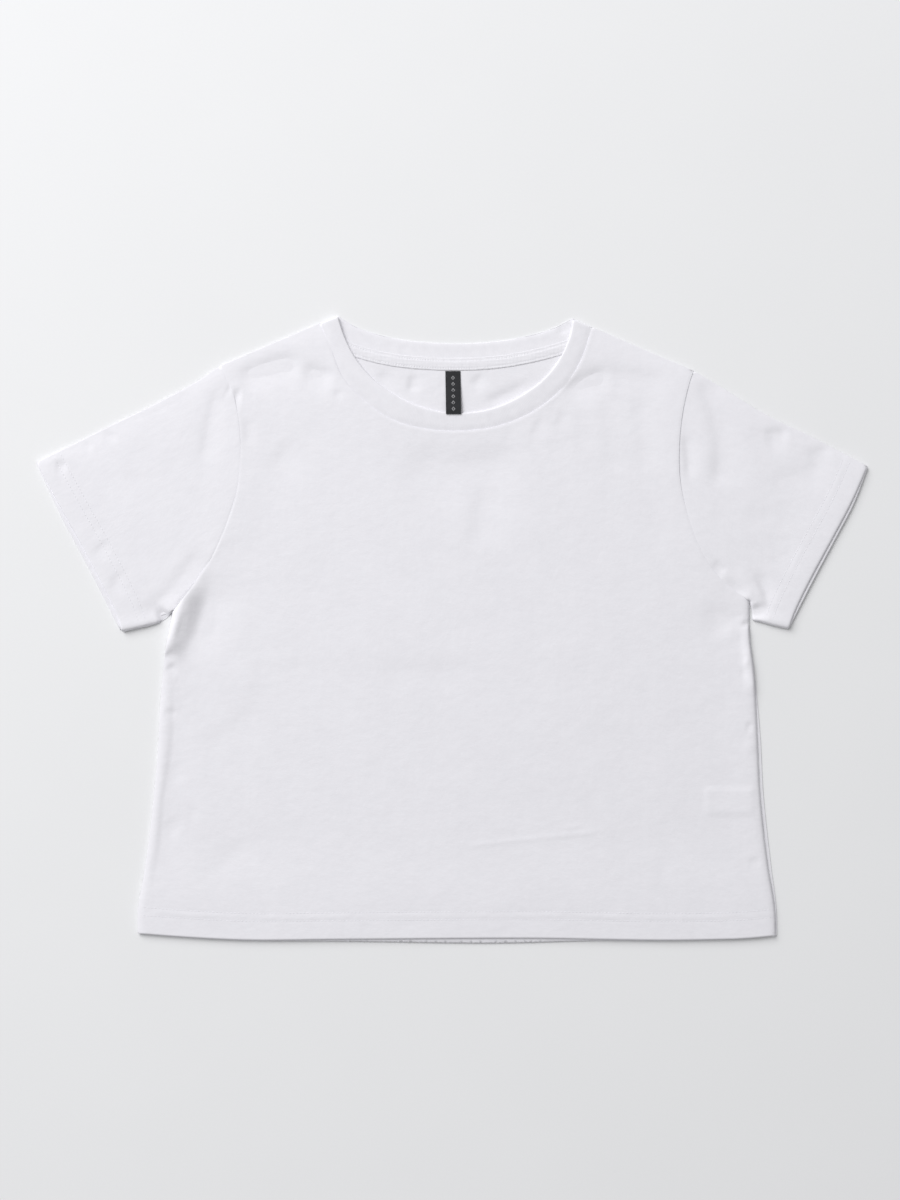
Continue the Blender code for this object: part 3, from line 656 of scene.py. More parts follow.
FRONT_HEM_LINE = line_of(FRONT_HEM)
BACK_HEM_LINE = line_of(BACK_HEM)
SIDE_RIGHT_LINE = line_of(SIDE_RIGHT)
SIDE_LEFT_LINE = line_of(SIDE_LEFT)
BACK_SIDE_LEFT_LINE = line_of(BACK_SIDE_LEFT)
ARM_RIGHT_LINE = line_of(ARMHOLE_RIGHT)
ARM_LEFT_LINE = line_of(ARMHOLE_LEFT)
FOLD_RIGHT_LINE = line_of(SLEEVE_FOLD_RIGHT)
FOLD_LEFT_LINE = line_of(SLEEVE_FOLD_LEFT)
CUFF_RIGHT_LINE = line_of(CUFF_RIGHT)
CUFF_LEFT_LINE = line_of(CUFF_LEFT)
LOW_RIGHT_LINE = line_of(LOW_RIGHT, 1.0)
LOW_LEFT_LINE = line_of(LOW_LEFT, 1.0)
SHOULDER_RIGHT_LINE = line_of((COLLAR_RIGHT, SHOULDER_RIGHT))
SHOULDER_LEFT_LINE = line_of((COLLAR_LEFT, SHOULDER_LEFT))
FRONT_NECK_LINE = line_of(FRONT_NECK)
BACK_NECK_LINE = line_of(BACK_NECK)
FRONT_OPENING_LINE = line_of(FRONT_OPENING)
BACK_OPENING_LINE = line_of(BACK_OPENING)
BAND_END_RIGHT = line_of((COLLAR_RIGHT, NECK_RIGHT), 1.0)
BAND_END_LEFT = line_of((COLLAR_LEFT, NECK_LEFT), 1.0)


def nearest_of(plan, *lines):
    """Distance from each point to the nearest of several lines."""
    return np.minimum.reduce([distance_to(plan, line[::3] if len(line) > 60 else line)
                              for line in lines])


def lifts(base, *rows):
    """A base height raised near each line by (distance, height there, reach) rows."""
    squares = sum(((height - base) * (1.0 - ease(gap / reach))) ** 2
                  for gap, height, reach in rows)
    return base + np.sqrt(squares)


def hem_relief(gap, rows, plan):
    """The ridge between two rows of stitches and the pull of each, uneven along them."""
    uneven = 1.0 + HEM_UNEVEN * wander(plan, 17.0, 11.0, 21)
    between = (rows[0] + rows[1]) / 2.0
    ridge, reach = HEM_RIDGE
    relief = ridge * uneven * np.exp(-((gap - between) / reach) ** 2)
    pull, reach = HEM_PULL
    for row in rows:
        relief -= pull * uneven * np.exp(-((gap - row) / reach) ** 2)
    grain, reach = HEM_GRAIN
    return relief + grain * wander(plan, 3.1, 5.0, 22) * np.exp(-((gap - between) / reach) ** 2)


def rows_beside(line, offsets, step=RIM_STEP):
    """Points at several distances to the left of a line."""
    return np.vstack([shifted(evenly(line, step), offset) for offset in offsets])


def ruffled(plan, seed):
    """Small soft unevenness at several scales."""
    turned = np.column_stack((plan[:, 0] * TURN_COS - plan[:, 1] * TURN_SIN,
                              plan[:, 0] * TURN_SIN + plan[:, 1] * TURN_COS)) * TURN_SCALE
    total = 0.0
    for rise, width, height, is_turned, offset in RUFFLES:
        total = total + rise * wander(turned if is_turned else plan, width, height, seed + offset)
    return total


def near_underarm(share):
    """1 on the lower part of an armhole, 0 near its top and smooth between."""
    return ease((SEAM_FADES_AT - share) / SEAM_FADE)


def front_top(plan):
    """The front's upper face: lifts, creases, hem and rims."""
    sides = nearest_of(plan, SIDE_RIGHT_LINE, SIDE_LEFT_LINE)
    shoulders = nearest_of(plan, SHOULDER_RIGHT_LINE, SHOULDER_LEFT_LINE)
    arms = nearest_of(plan, ARM_RIGHT_LINE, ARM_LEFT_LINE)
    arm_left = nearest_of(plan, ARM_LEFT_LINE)
    neck = nearest_of(plan, FRONT_NECK_LINE)
    hem = nearest_of(plan, FRONT_HEM_LINE)
    top = lifts(BODY_TOP, (sides, SEAM_TOP, SEAM_REACH), (arms, ARMHOLE_TOP, SEAM_REACH),
                (shoulders, SHOULDER_TOP, SEAM_REACH))
    top += (NECK_TOP - BODY_TOP) * np.exp(-neck / NECK_REACH)
    top += ruffled(plan, 3)
    top += creased(plan, FRONT_CREASES)
    top = np.maximum(top, LEAST_TOP)
    low_x, high_x, low_y, high_y = CARE_LABEL
    outside = np.maximum.reduce((low_x - plan[:, 0], plan[:, 0] - high_x,
                                 low_y - plan[:, 1], plan[:, 1] - high_y))
    top += CARE_LABEL_RISE * (1.0 - ease(outside / CARE_LABEL_SOFT + 0.5))
    settled = ease((hem - HEM_DEPTH - SETTLE_START) / SETTLE_REACH)
    top = HEM_TOP + HEM_WAVE * wander(plan, 46.0, 30.0, 8) + (top - HEM_TOP) * settled
    top += hem_relief(hem, HEM_ROWS, plan)
    arm_right, _, share = measure(plan, ARM_RIGHT_LINE[::3])
    top = dipped(top, arm_right, 0.06 + 0.16 * near_underarm(share), ARM_DIP)
    top = dipped(top, arm_left, *ARM_LEFT_DIP)
    ridge, place, reach = NECK_RIDGE
    top = top + ridge * np.exp(-((neck - place) / reach) ** 2)
    top = dipped(top, neck, *NECK_DIP)
    left = distance_to(plan, SIDE_LEFT_LINE[::3])
    right = distance_to(plan, SIDE_RIGHT_LINE[::3])
    top = rounded(top, right, SIDE_RIGHT_EDGE, EDGE_LOW)
    top = rounded(top, left, SIDE_LEFT_EDGE, EDGE_LOW)
    top = rounded(top, shoulders, SHOULDER_EDGE, EDGE_LOW)
    top = np.maximum(top, np.where(left < 3.0, BACK_TOP + 0.1, EDGE_LOW))
    return rolled(top, hem, HEM_ROUND, HEM_TOP - HEM_ROUND)


def front_bottom(plan):
    """The front's lower face, clear of the back."""
    hem = nearest_of(plan, FRONT_HEM_LINE)
    top = front_top(plan)
    wall = np.where(hem <= HEM_DEPTH + 2.5, HEM_WALL, WALL)
    return np.minimum(np.maximum(top - wall, BACK_TOP + CLEAR), top - LEAST_WALL)


def back_top(plan):
    """The back's upper face: creases inside the neck, its hem and its rims."""
    hem = nearest_of(plan, BACK_HEM_LINE)
    side = distance_to(plan, BACK_SIDE_LEFT_LINE)
    top = BACK_TOP + BACK_RISE * ease((plan[:, 1] - BACK_RISE_FROM) / BACK_RISE_OVER)
    top = top + creased(plan, BACK_CREASES)
    top = np.where(hem <= HEM_DEPTH, HEM_WALL, top)
    top = rolled(top, hem, 1.0, HEM_WALL - 0.8)
    return rolled(top, side, 0.8, 0.5)


def sleeve_top(sleeve):
    """The upper face of a sleeve, from its table of edges and creases."""
    def top_of(plan):
        arm, _, share = measure(plan, sleeve["arm"][::3])
        fold = nearest_of(plan, sleeve["fold"])
        low = distance_to(plan, sleeve["low"])
        cuff = nearest_of(plan, sleeve["cuff"])
        seam = ARMHOLE_TOP - sleeve["step"] * ease((share - STEP_FROM) / STEP_OVER)
        top = lifts(SLEEVE_TOP, (arm, seam, ARM_REACH), (cuff, CUFF_TOP, CUFF_REACH),
                    (low, LOW_TOP, LOW_REACH))
        top = np.where(seam < SLEEVE_TOP, top - 2.0 * (SLEEVE_TOP - seam)
                       * (1.0 - ease(arm / ARM_REACH)), top)
        top += ruffled(plan, sleeve["seed"])
        top += creased(plan, sleeve["creases"])
        top += 0.5 * hem_relief(cuff, CUFF_ROWS, plan)
        top = dipped(top, arm, sleeve["dip"] * (0.4 + 0.6 * near_underarm(share)), ARM_DIP)
        top = rounded(top, fold, FOLD_EDGE, EDGE_LOW)
        top = rounded(top, low, LOW_EDGE, EDGE_LOW)
        return rounded(top, cuff, sleeve["cuff_edge"], EDGE_LOW + CUFF_EDGE_RISE)
    return top_of


def under_top(sleeve):
    """The lower layer of a sleeve, double in its hem."""
    def top_of(plan):
        cuff = distance_to(plan, sleeve["under_cuff"])
        tilt = STRIP_TILT * (1.0 - ease(cuff / STRIP_REACH)) - STRIP_DROP
        top = np.where(cuff <= STRIP_DEPTH, HEM_WALL + tilt, BACK_TOP)
        return rolled(top, cuff, 0.7, 0.7)
    return top_of


def below(top_of, wall, least):
    """The lower face of a sheet with a wall, no lower than a least height."""
    def bottom_of(plan):
        top = top_of(plan)
        return np.minimum(np.maximum(top - wall, least), top - LEAST_WALL)
    return bottom_of


def flat_at(height):
    return lambda plan: np.full(len(plan), height)


def fine_mask(plan, creases, widest=4.6, spread=2.6):
    """Whether each point is close enough to a narrow crease to need finer cloth."""
    mask = np.zeros(len(plan), dtype=bool)
    for points, _, reach_left, reach_right in creases:
        if min(reach_left, reach_right) > widest:
            continue
        line = smooth(points)
        margin = spread * max(reach_left, reach_right)
        near = in_box(plan, line, margin)
        if near.any():
            mask[near] |= distance_to(plan[near], line) < margin
    return mask


def inner_points(outline, step, insets, creases=(), rows=(), clear_of=None):
    """Rows along an outline, given rows, and a grid that is finer near creases."""
    ring = closed(outline)
    normal = left_of(np.vstack((outline[-1:], ring)))[1:-1]
    groups = []
    for inset in insets:
        groups.append(kept_in(outline + inset * normal, outline, INSET_KEPT * inset))
    last = insets[-1] if insets else 0.0
    low = outline.min(axis=0)
    high = outline.max(axis=0)
    coarse = staggered(low, high, step)
    fine = staggered(low, high, FINEST)
    coarse = coarse[~fine_mask(coarse, creases)]
    fine = fine[fine_mask(fine, creases)]
    coarse = coarse[gap_to_cloud(coarse, fine) >= APART * step]
    for grid, rim in ((coarse, last + OFF_RIM * step), (fine, last + OFF_RIM * FINEST)):
        grid = kept_in(grid, outline, rim)
        if clear_of is not None:
            grid = grid[clear_of(grid)]
        groups.append(grid)
    for row in rows:
        groups.append(kept_in(row, outline, last + OFF_RIM))
    return np.vstack(groups)


def polygon_area(outline):
    """Area within a closed outline, in square metres."""
    x, y = outline[:, 0], outline[:, 1]
    return abs(np.dot(x, np.roll(y, -1)) - np.dot(y, np.roll(x, -1))) / 2.0 * MM * MM


def spans(outline):
    """Width and length of an outline in metres."""
    width, length = (outline.max(axis=0) - outline.min(axis=0)) * MM
    return float(width), float(length)


def body_outline(hem, side_left, neck, inset):
    """A body panel's outline, counter-clockwise; the back is set in under the front."""
    side_right = SIDE_RIGHT_LINE
    shoulder_left = SHOULDER_LEFT_LINE
    shoulder_right = SHOULDER_RIGHT_LINE
    if inset:
        side_right = shifted(side_right, -inset)
        shoulder_left = shifted(shoulder_left, -inset)
        shoulder_right = shifted(shoulder_right, inset)
    return outline_of(hem, side_left, ARM_LEFT_LINE, shoulder_left[::-1], neck[::-1],
                      shoulder_right, ARM_RIGHT_LINE[::-1], side_right[::-1])


def in_hem(line, rows, margin, side=1.0):
    """Close rows of points along a stitched hem, and whether a point is clear of them."""
    first = rows[0] - margin
    last = rows[1] + margin
    close = rows_beside(line, side * np.arange(first + 0.8, last, HEM_PITCH))

    def clear_of(plan):
        gap = nearest_of(plan, line)
        return (gap < first - 0.4) | (gap > last + 0.8)
    return [close], clear_of


def build_front(finish):
    outline = body_outline(FRONT_HEM_LINE, SIDE_LEFT_LINE, FRONT_NECK_LINE, 0.0)
    inner = inner_points(outline, FINE_GRID, RIM_INSETS, FRONT_CREASES,
                         *in_hem(FRONT_HEM_LINE, HEM_ROWS, 3.0))
    vertices, faces = sheet_arrays(outline, inner, front_top, front_bottom)
    piece = add_piece("front_cloth", vertices, faces, finish)
    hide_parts("front")
    return piece, outline


def build_back(finish):
    outline = body_outline(BACK_HEM_LINE, BACK_SIDE_LEFT_LINE, BACK_NECK_LINE, RIM_UNDER)
    opening = np.vstack((BACK_NECK_LINE, FRONT_OPENING_LINE[::-1]))
    low = opening.min(axis=0) - 6.0
    high = opening.max(axis=0) + 2.0
    fine = staggered(low, high, FINEST)
    coarse = staggered(outline.min(axis=0), outline.max(axis=0), HIDDEN_GRID)
    apart = np.any((coarse < low - 3.0) | (coarse > high + 3.0), axis=1)
    grid = kept_in(np.vstack((fine, coarse[apart])), outline, OFF_OUTLINE)
    hem_step = rows_beside(BACK_HEM_LINE, (0.3, 0.8, 1.4, HEM_DEPTH - 0.3, HEM_DEPTH + 0.3), 4.0)
    hem_step = kept_in(hem_step, outline, 0.25)
    near_hem = nearest_of(grid, BACK_HEM_LINE)
    grid = grid[(np.abs(near_hem - HEM_DEPTH) > 2.0) & (near_hem > 2.6)]
    vertices, faces = sheet_arrays(outline, np.vstack((hem_step, grid)), back_top, flat_at(0.0))
    piece = add_piece("back_cloth", vertices, faces, finish)
    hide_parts("back")
    return piece, outline


def build_sleeve(name, sleeve, finish):
    """Both layers of a sleeve; the upper one wraps over the lower one at its folds."""
    outline = outline_of(*sleeve["walk"])
    side = sleeve["cuff_side"]
    inner = inner_points(outline, SLEEVE_GRID, RIM_INSETS, sleeve["creases"],
                         *in_hem(sleeve["cuff"], CUFF_ROWS, 2.6, side))
    top = sleeve_top(sleeve)
    upper = sheet_arrays(outline, inner, top, below(top, WALL, BACK_TOP + CLEAR))
    under_outline = outline_of(*sleeve["under_walk"])
    grid = staggered(under_outline.min(axis=0), under_outline.max(axis=0), HIDDEN_GRID)
    grid = kept_in(grid, under_outline, OFF_OUTLINE)
    rim = rows_beside(sleeve["under_cuff"], side * np.array((0.25, 0.6, 1.1, 2.4, 4.0, 6.0)))
    rim = kept_in(rim, under_outline, 0.2)
    lower = sheet_arrays(under_outline, np.vstack((rim, grid)), under_top(sleeve), flat_at(0.0))
    vertices, faces = joined((upper, lower))
    piece = add_piece(name + "_cloth", vertices, faces, finish)
    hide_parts(name)
    return piece, outline, under_outline


def band_top(free, seam, top):
    """Upper face of half the band: a round free edge and a fall towards its seam."""
    def top_of(plan):
        to_free = nearest_of(plan, free)
        to_seam = nearest_of(plan, seam)
        ends = np.minimum(distance_to(plan, BAND_END_RIGHT[::3]),
                          distance_to(plan, BAND_END_LEFT[::3]))
        height = top - BAND_SLOPE * np.clip(1.0 - to_seam / BAND_WIDTH, 0.0, 1.0)
        fall, reach = BAND_FALL
        dip, dip_reach = BAND_DIP
        height -= fall * (1.0 - ease(to_seam / reach)) + dip * np.exp(-(to_seam / dip_reach) ** 2)
        height += creased(plan, BAND_CREASES)
        from_fold = np.hypot(plan[:, 0] - NECK_RIGHT[0], plan[:, 1] - NECK_RIGHT[1])
        height += BAND_STAND * np.exp(-from_fold / BAND_STAND_REACH)
        height = rounded(height, to_free, BAND_EDGE, top - BAND_ROUND)
        return rounded(height, ends, BAND_END_EDGE, EDGE_LOW)
    return top_of


def back_band_top(plan):
    """Upper face of the back half of the band."""
    to_free = nearest_of(plan, BACK_OPENING_LINE)
    to_seam = nearest_of(plan, BACK_NECK_LINE)
    height = BAND_WALL - 0.2 + 0.2 * (1.0 - ease((to_seam - 3.0) / 9.0))
    height += creased(plan, BACK_BAND_CREASES)
    return rounded(height, to_free, BACK_BAND_EDGE, EDGE_LOW)


def build_neckband(finish):
    """The rib ring's front half over its back half."""
    top = band_top(FRONT_OPENING_LINE, FRONT_NECK_LINE, BAND_FRONT_TOP)
    front_outline = outline_of(FRONT_NECK_LINE, BAND_END_LEFT, FRONT_OPENING_LINE[::-1],
                               BAND_END_RIGHT[::-1])
    inner = inner_points(front_outline, BAND_GRID, RIM_INSETS)
    front_half = sheet_arrays(front_outline, inner, top, below(top, BAND_WALL - 0.2, 0.05))
    back_outline = outline_of(BACK_NECK_LINE, BACK_OPENING_LINE[::-1])
    centre = back_outline.mean(axis=0)
    back_outline = centre + (back_outline - centre) * (0.992, 1.0)
    inner = inner_points(back_outline, BAND_GRID, RIM_INSETS)
    back_half = sheet_arrays(back_outline, inner, back_band_top, flat_at(0.0))
    vertices, faces = joined((front_half, back_half))
    piece = add_piece("neckband_cloth", vertices, faces, finish)
    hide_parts("neckband")
    around(piece, FRONT_NECK_LINE, BACK_NECK_LINE, len(front_half[0]))
    return piece, (front_outline, back_outline)


def around(piece, front_line, back_line, first_back):
    """Store how far round the ring each point is, for the ribs."""
    mesh = piece.data
    points = np.array([tuple(vertex.co) for vertex in mesh.vertices])[:, :2] / MM
    run_front = lengths(front_line)[-1]
    run_back = lengths(back_line)[-1]
    places = np.empty(len(points))
    places[:first_back] = measure(points[:first_back], front_line[::2])[2] * run_front
    places[first_back:] = measure(points[first_back:], back_line[::2])[2] * run_back
    layer = mesh.attributes.new("around", "FLOAT", "POINT")
    layer.data.foreach_set("value", places * MM)


def build_tape(finish):
    """The tape over the seam between the back and the band, thick below its lower edge."""
    shares = np.linspace(0.10, 0.90, 110)
    seam = at_shares(BACK_NECK_LINE, shares)
    low = shifted(seam, -TAPE_BELOW)
    high = shifted(seam, TAPE_ABOVE)
    outline = outline_of(low, high[::-1])

    def top_of(plan):
        to_low = distance_to(plan, low)
        to_high = distance_to(plan, high)
        top = TAPE_TOP + 0.05 * wander(plan, 18.0, 9.0, 31)
        run = measure(plan, low)[2] * lengths(low)[-1]
        holes = 0.5 + 0.5 * np.cos(2.0 * math.pi * run / TAPE_PITCH)
        for row in TAPE_ROWS:
            top -= (0.10 + 0.22 * holes) * np.exp(-((to_low - row) / 0.6) ** 2)
        top = rolled(top, to_low, 0.9, TAPE_TOP - 1.0)
        top -= 0.35 * ease((to_low - 7.0) / 3.0)
        return rolled(top, to_high, 0.3, TAPE_TOP - 0.45)

    inner = inner_points(outline, 0.75, (0.2, 0.5))
    vertices, faces = sheet_arrays(outline, inner, top_of,
                                   below(top_of, 1.7, BACK_TOP + CLEAR))
    piece = add_piece("neck_tape_cloth", vertices, faces, finish)
    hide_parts("neck_tape")
    return piece, outline, low, top_of


def build_label(finish, mark_finish):
    """The woven label with a column of plain lozenges down its middle."""
    rise = np.array(LABEL_RISE)
    ys = np.linspace(rise[0, 0], rise[-1, 0], 36)
    heights = np.interp(-ys, -rise[:, 0], rise[:, 1])
    heights += 0.10 * np.sin((ys - ys[0]) / 5.0)
    down = (ys[0] - ys) / (ys[0] - ys[-1])
    middle = LABEL_X[0] + (LABEL_X[1] - LABEL_X[0]) * down
    columns = np.linspace(-0.5, 0.5, 11)
    rows = []
    for index, y in enumerate(ys):
        bow = 0.35 * (1.0 - (2.0 * columns) ** 2) * (0.3 + 0.7 * np.sin(down[index] * math.pi))
        xs = middle[index] + LABEL_WIDTH * columns
        rows.append(np.column_stack((xs, np.full(11, y), heights[index] + bow)))
    top = np.vstack(rows)
    under = top - (0.0, 0.0, LABEL_WALL)
    size = len(top)
    faces = []
    for row in range(len(ys) - 1):
        for column in range(10):
            a = row * 11 + column
            faces.append([a, a + 11, a + 12, a + 1])
            faces.append([a + size, a + 1 + size, a + 12 + size, a + 11 + size])
    loop = list(range(11)) + list(range(21, size, 11))
    loop += list(range(size - 2, size - 12, -1)) + list(range(size - 22, 0, -11))
    for a, b in zip(loop, loop[1:] + loop[:1]):
        faces.append([a, b, b + size, a + size])
    label = add_piece("neck_label_cloth", np.vstack((top, under)), faces, finish,
                      40.0)
    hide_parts("neck_label")
    marks = []
    for number in range(LABEL_MARKS):
        share = 0.16 + 0.72 * number / (LABEL_MARKS - 1)
        y = ys[0] + (ys[-1] - ys[0]) * share
        x = LABEL_X[0] + (LABEL_X[1] - LABEL_X[0]) * share
        z = float(np.interp(-y, -ys, heights)) + 0.35 * (0.3 + 0.7 * math.sin(share * math.pi))
        marks.append(lozenge((x, y, z), 1.5, 1.75))
    vertices, faces = joined(marks)
    mark = add_piece("neck_label_lozenges", vertices, faces, mark_finish, 40.0)
    return label, mark


def lozenge(centre, half_width, half_length):
    """A thin raised ring-shaped lozenge of thread."""
    x, y, z = centre
    corners = np.array(((half_width, 0), (0, half_length), (-half_width, 0), (0, -half_length)))
    outer = np.column_stack((corners + (x, y), np.full(4, z)))
    crest = np.column_stack((0.76 * corners + (x, y), np.full(4, z + 0.14)))
    inner = np.column_stack((0.5 * corners + (x, y), np.full(4, z)))
    faces = []
    for near in (0, 4):
        for place in range(4):
            after = (place + 1) % 4
            faces.append([near + place, near + after, near + 4 + after, near + 4 + place])
    for place in range(4):
        after = (place + 1) % 4
        faces.append([8 + place, 8 + after, after, place])
    return np.vstack((outer, crest, inner)), faces


def build_care_label(finish):
    low_x, high_x, low_y, high_y = CARE_LABEL
    corners = np.array(((low_x, low_y), (high_x, low_y), (high_x, high_y), (low_x, high_y),
                        (low_x, low_y)))
    outline = evenly(corners, 3.0)[:-1]
    bottom = BACK_TOP + 0.1
    grid = kept_in(staggered(outline.min(axis=0), outline.max(axis=0), 4.0), outline, 1.5)

    def top_of(plan):
        return bottom + 0.35 + 0.08 * wander(plan, 12.0, 9.0, 41)

    vertices, faces = sheet_arrays(outline, grid, top_of, flat_at(bottom))
    piece = add_piece("care_label_cloth", vertices, faces, finish)
    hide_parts("care_label")
    return piece, outline


def stitch_row(line, top_of, pitch, length, sink=0.06, width=0.26):
    """Small threads lying along a line on a surface."""
    run = lengths(line)[-1]
    count = int(run / pitch)
    shares = (np.arange(count) + 0.5) / count
    centres = at_shares(line, shares)
    before = at_shares(line, np.clip(shares - 0.3 / run, 0.0, 1.0))
    along = centres - before
    along /= np.linalg.norm(along, axis=1)[:, None]
    across = np.column_stack((-along[:, 1], along[:, 0]))
    chance = np.random.RandomState(count)
    heights = top_of(centres) - sink
    ring = [(math.cos(angle), math.sin(angle))
            for angle in np.arange(6) * math.pi / 3.0 + math.pi / 6.0]
    parts = []
    for centre, ahead, aside, height in zip(centres, along, across, heights):
        turn = chance.uniform(-0.08, 0.08)
        ahead = ahead + turn * aside
        half = 0.5 * length * chance.uniform(0.92, 1.06)
        vertices = [np.append(centre - half * ahead, height - 0.05)]
        for place in (-0.55, 0.55):
            for side, up in ring:
                flat = centre + place * half * ahead + width * side * aside
                vertices.append(np.append(flat, height + 0.2 * up))
        vertices.append(np.append(centre + half * ahead, height - 0.05))
        faces = []
        for place in range(6):
            after = (place + 1) % 6
            faces.append([0, 1 + after, 1 + place])
            faces.append([1 + place, 1 + after, 7 + after, 7 + place])
            faces.append([7 + place, 7 + after, 13])
        parts.append((np.array(vertices), faces))
    return parts


def build_stitches(name, rows, finish):
    """Rows of stitches as one piece: each row is (line, surface, pitch, length)."""
    parts = []
    for line, top_of, pitch, length in rows:
        parts += stitch_row(line, top_of, pitch, length)
    vertices, faces = joined(parts)
    return add_piece(name, vertices, faces, finish, 80.0)


def trimmed(line, start, end):
    """A line without some of its length at each end."""
    run = lengths(line)[-1]
    return at_shares(line, np.linspace(start / run, 1.0 - end / run, len(line)))


# Finishes

def fresh(name):
    """A new material with its nodes, links and shader."""
    made = bpy.data.materials.new(name)
    made.use_nodes = True
    nodes = made.node_tree.nodes
    links = made.node_tree.links
    return made, nodes, links, nodes["Principled BSDF"]


def given(node, **values):
    """A node with values on its inputs, whose names have _ for a space."""
    for name, value in values.items():
        node.inputs[name.replace("_", " ")].default_value = value
    return node


def noise(nodes, links, vector, size, detail):
    made = given(nodes.new("ShaderNodeTexNoise"), Scale=size, Detail=detail,
                 Roughness=NOISE_ROUGHNESS)
    links.new(vector, made.inputs["Vector"])
    return made.outputs["Fac"]


def mixed_colour(nodes, links, factor, low, high):
    """A colour between two, spread over the middle of a noise."""
    spread = given(nodes.new("ShaderNodeMapRange"), From_Min=0.3, From_Max=0.7)
    mix = nodes.new("ShaderNodeMix")
    mix.data_type = "RGBA"
    mix.inputs["A"].default_value = (*low, 1.0)
    mix.inputs["B"].default_value = (*high, 1.0)
    links.new(factor, spread.inputs["Value"])
    links.new(spread.outputs["Result"], mix.inputs["Factor"])
    return mix.outputs["Result"]


def summed(nodes, links, rows):
    """The sum of several outputs, each times its weight."""
    total = None
    for output, weight in rows:
        part = nodes.new("ShaderNodeMath")
        part.operation = "MULTIPLY_ADD"
        part.inputs[1].default_value = weight
        part.inputs[2].default_value = 0.0
        links.new(output, part.inputs[0])
        if total is not None:
            links.new(total, part.inputs[2])
        total = part.outputs[0]
    return total


def bumped(nodes, links, shader, height, distance):
    bump = given(nodes.new("ShaderNodeBump"), Strength=1.0, Distance=distance)
    links.new(height, bump.inputs["Height"])
    links.new(bump.outputs["Normal"], shader.inputs["Normal"])


def wave(nodes, links, vector, pitch, axis):
    """Even ridges across an axis, a pitch apart."""
    made = nodes.new("ShaderNodeTexWave")
    made.wave_type = "BANDS"
    made.bands_direction = axis
    given(made, Scale=WAVE_UNIT / pitch, Distortion=0.0)
    links.new(vector, made.inputs["Vector"])
    return made.outputs["Fac"]


def jersey(name, turn, low, high):
    """White jersey: fine wales, courses with slubs, and faint cloudiness."""
    made, nodes, links, shader = fresh(name)
    place = nodes.new("ShaderNodeTexCoord")
    rotate = given(nodes.new("ShaderNodeMapping"), Rotation=(0.0, 0.0, turn))
    links.new(place.outputs["Object"], rotate.inputs["Vector"])
    turned = rotate.outputs["Vector"]
    along = given(nodes.new("ShaderNodeMapping"), Scale=(1.0, 1.9, 1.0))
    links.new(turned, along.inputs["Vector"])
    streaks = noise(nodes, links, along.outputs["Vector"], 120.0, 3.0)
    slubs = noise(nodes, links, along.outputs["Vector"], 420.0, 2.0)
    cloud = noise(nodes, links, turned, 34.0, 3.0)
    wales = wave(nodes, links, turned, 0.0009, "X")
    colour = mixed_colour(nodes, links, summed(nodes, links, ((streaks, 0.4), (slubs, 0.3),
                                                              (cloud, 0.3))), low, high)
    links.new(colour, shader.inputs["Base Color"])
    given(shader, Roughness=0.92, Specular_IOR_Level=0.25, Sheen_Weight=0.12,
          Sheen_Roughness=0.5)
    height = summed(nodes, links, ((streaks, 0.7), (slubs, 0.35), (cloud, 2.4), (wales, 0.08)))
    bumped(nodes, links, shader, height, 0.00018)
    return made


def rib(name, low, high):
    """Rib knit: ridges across the band, a pitch apart round the ring."""
    made, nodes, links, shader = fresh(name)
    ring = nodes.new("ShaderNodeAttribute")
    ring.attribute_name = "around"
    angle = nodes.new("ShaderNodeMath")
    angle.operation = "MULTIPLY"
    angle.inputs[1].default_value = 2.0 * math.pi / RIB_PITCH
    links.new(ring.outputs["Fac"], angle.inputs[0])
    ridge = nodes.new("ShaderNodeMath")
    ridge.operation = "SINE"
    links.new(angle.outputs[0], ridge.inputs[0])
    place = nodes.new("ShaderNodeTexCoord")
    cloud = noise(nodes, links, place.outputs["Object"], 160.0, 3.0)
    colour = mixed_colour(nodes, links, cloud, low, high)
    links.new(colour, shader.inputs["Base Color"])
    given(shader, Roughness=0.9, Specular_IOR_Level=0.25, Sheen_Weight=0.12)
    height = summed(nodes, links, ((ridge.outputs[0], 0.12), (cloud, 1.1)))
    bumped(nodes, links, shader, height, 0.00012)
    return made


def woven(name, low, high, roughness, pitch, depth):
    """A woven narrow cloth: fine crossing ridges."""
    made, nodes, links, shader = fresh(name)
    place = nodes.new("ShaderNodeTexCoord")
    across = wave(nodes, links, place.outputs["Object"], pitch, "X")
    along = wave(nodes, links, place.outputs["Object"], pitch, "Y")
    cloud = noise(nodes, links, place.outputs["Object"], 300.0, 2.0)
    links.new(mixed_colour(nodes, links, cloud, low, high), shader.inputs["Base Color"])
    given(shader, Roughness=roughness, Specular_IOR_Level=0.35, Sheen_Weight=0.0)
    height = summed(nodes, links, ((across, 0.5), (along, 0.5), (cloud, 0.5)))
    bumped(nodes, links, shader, height, depth)
    return made


def floor_finish():
    """A pale matt surface with the faintest unevenness."""
    made, nodes, links, shader = fresh("floor_finish")
    place = nodes.new("ShaderNodeTexCoord")
    cloud = noise(nodes, links, place.outputs["Object"], 9.0, 4.0)
    grain = noise(nodes, links, place.outputs["Object"], 600.0, 2.0)
    colour = mixed_colour(nodes, links, summed(nodes, links, ((cloud, 0.5), (grain, 0.5))),
                          FLOOR_LOW, FLOOR_HIGH)
    links.new(colour, shader.inputs["Base Color"])
    given(shader, Roughness=0.8, Specular_IOR_Level=0.2)
    return made


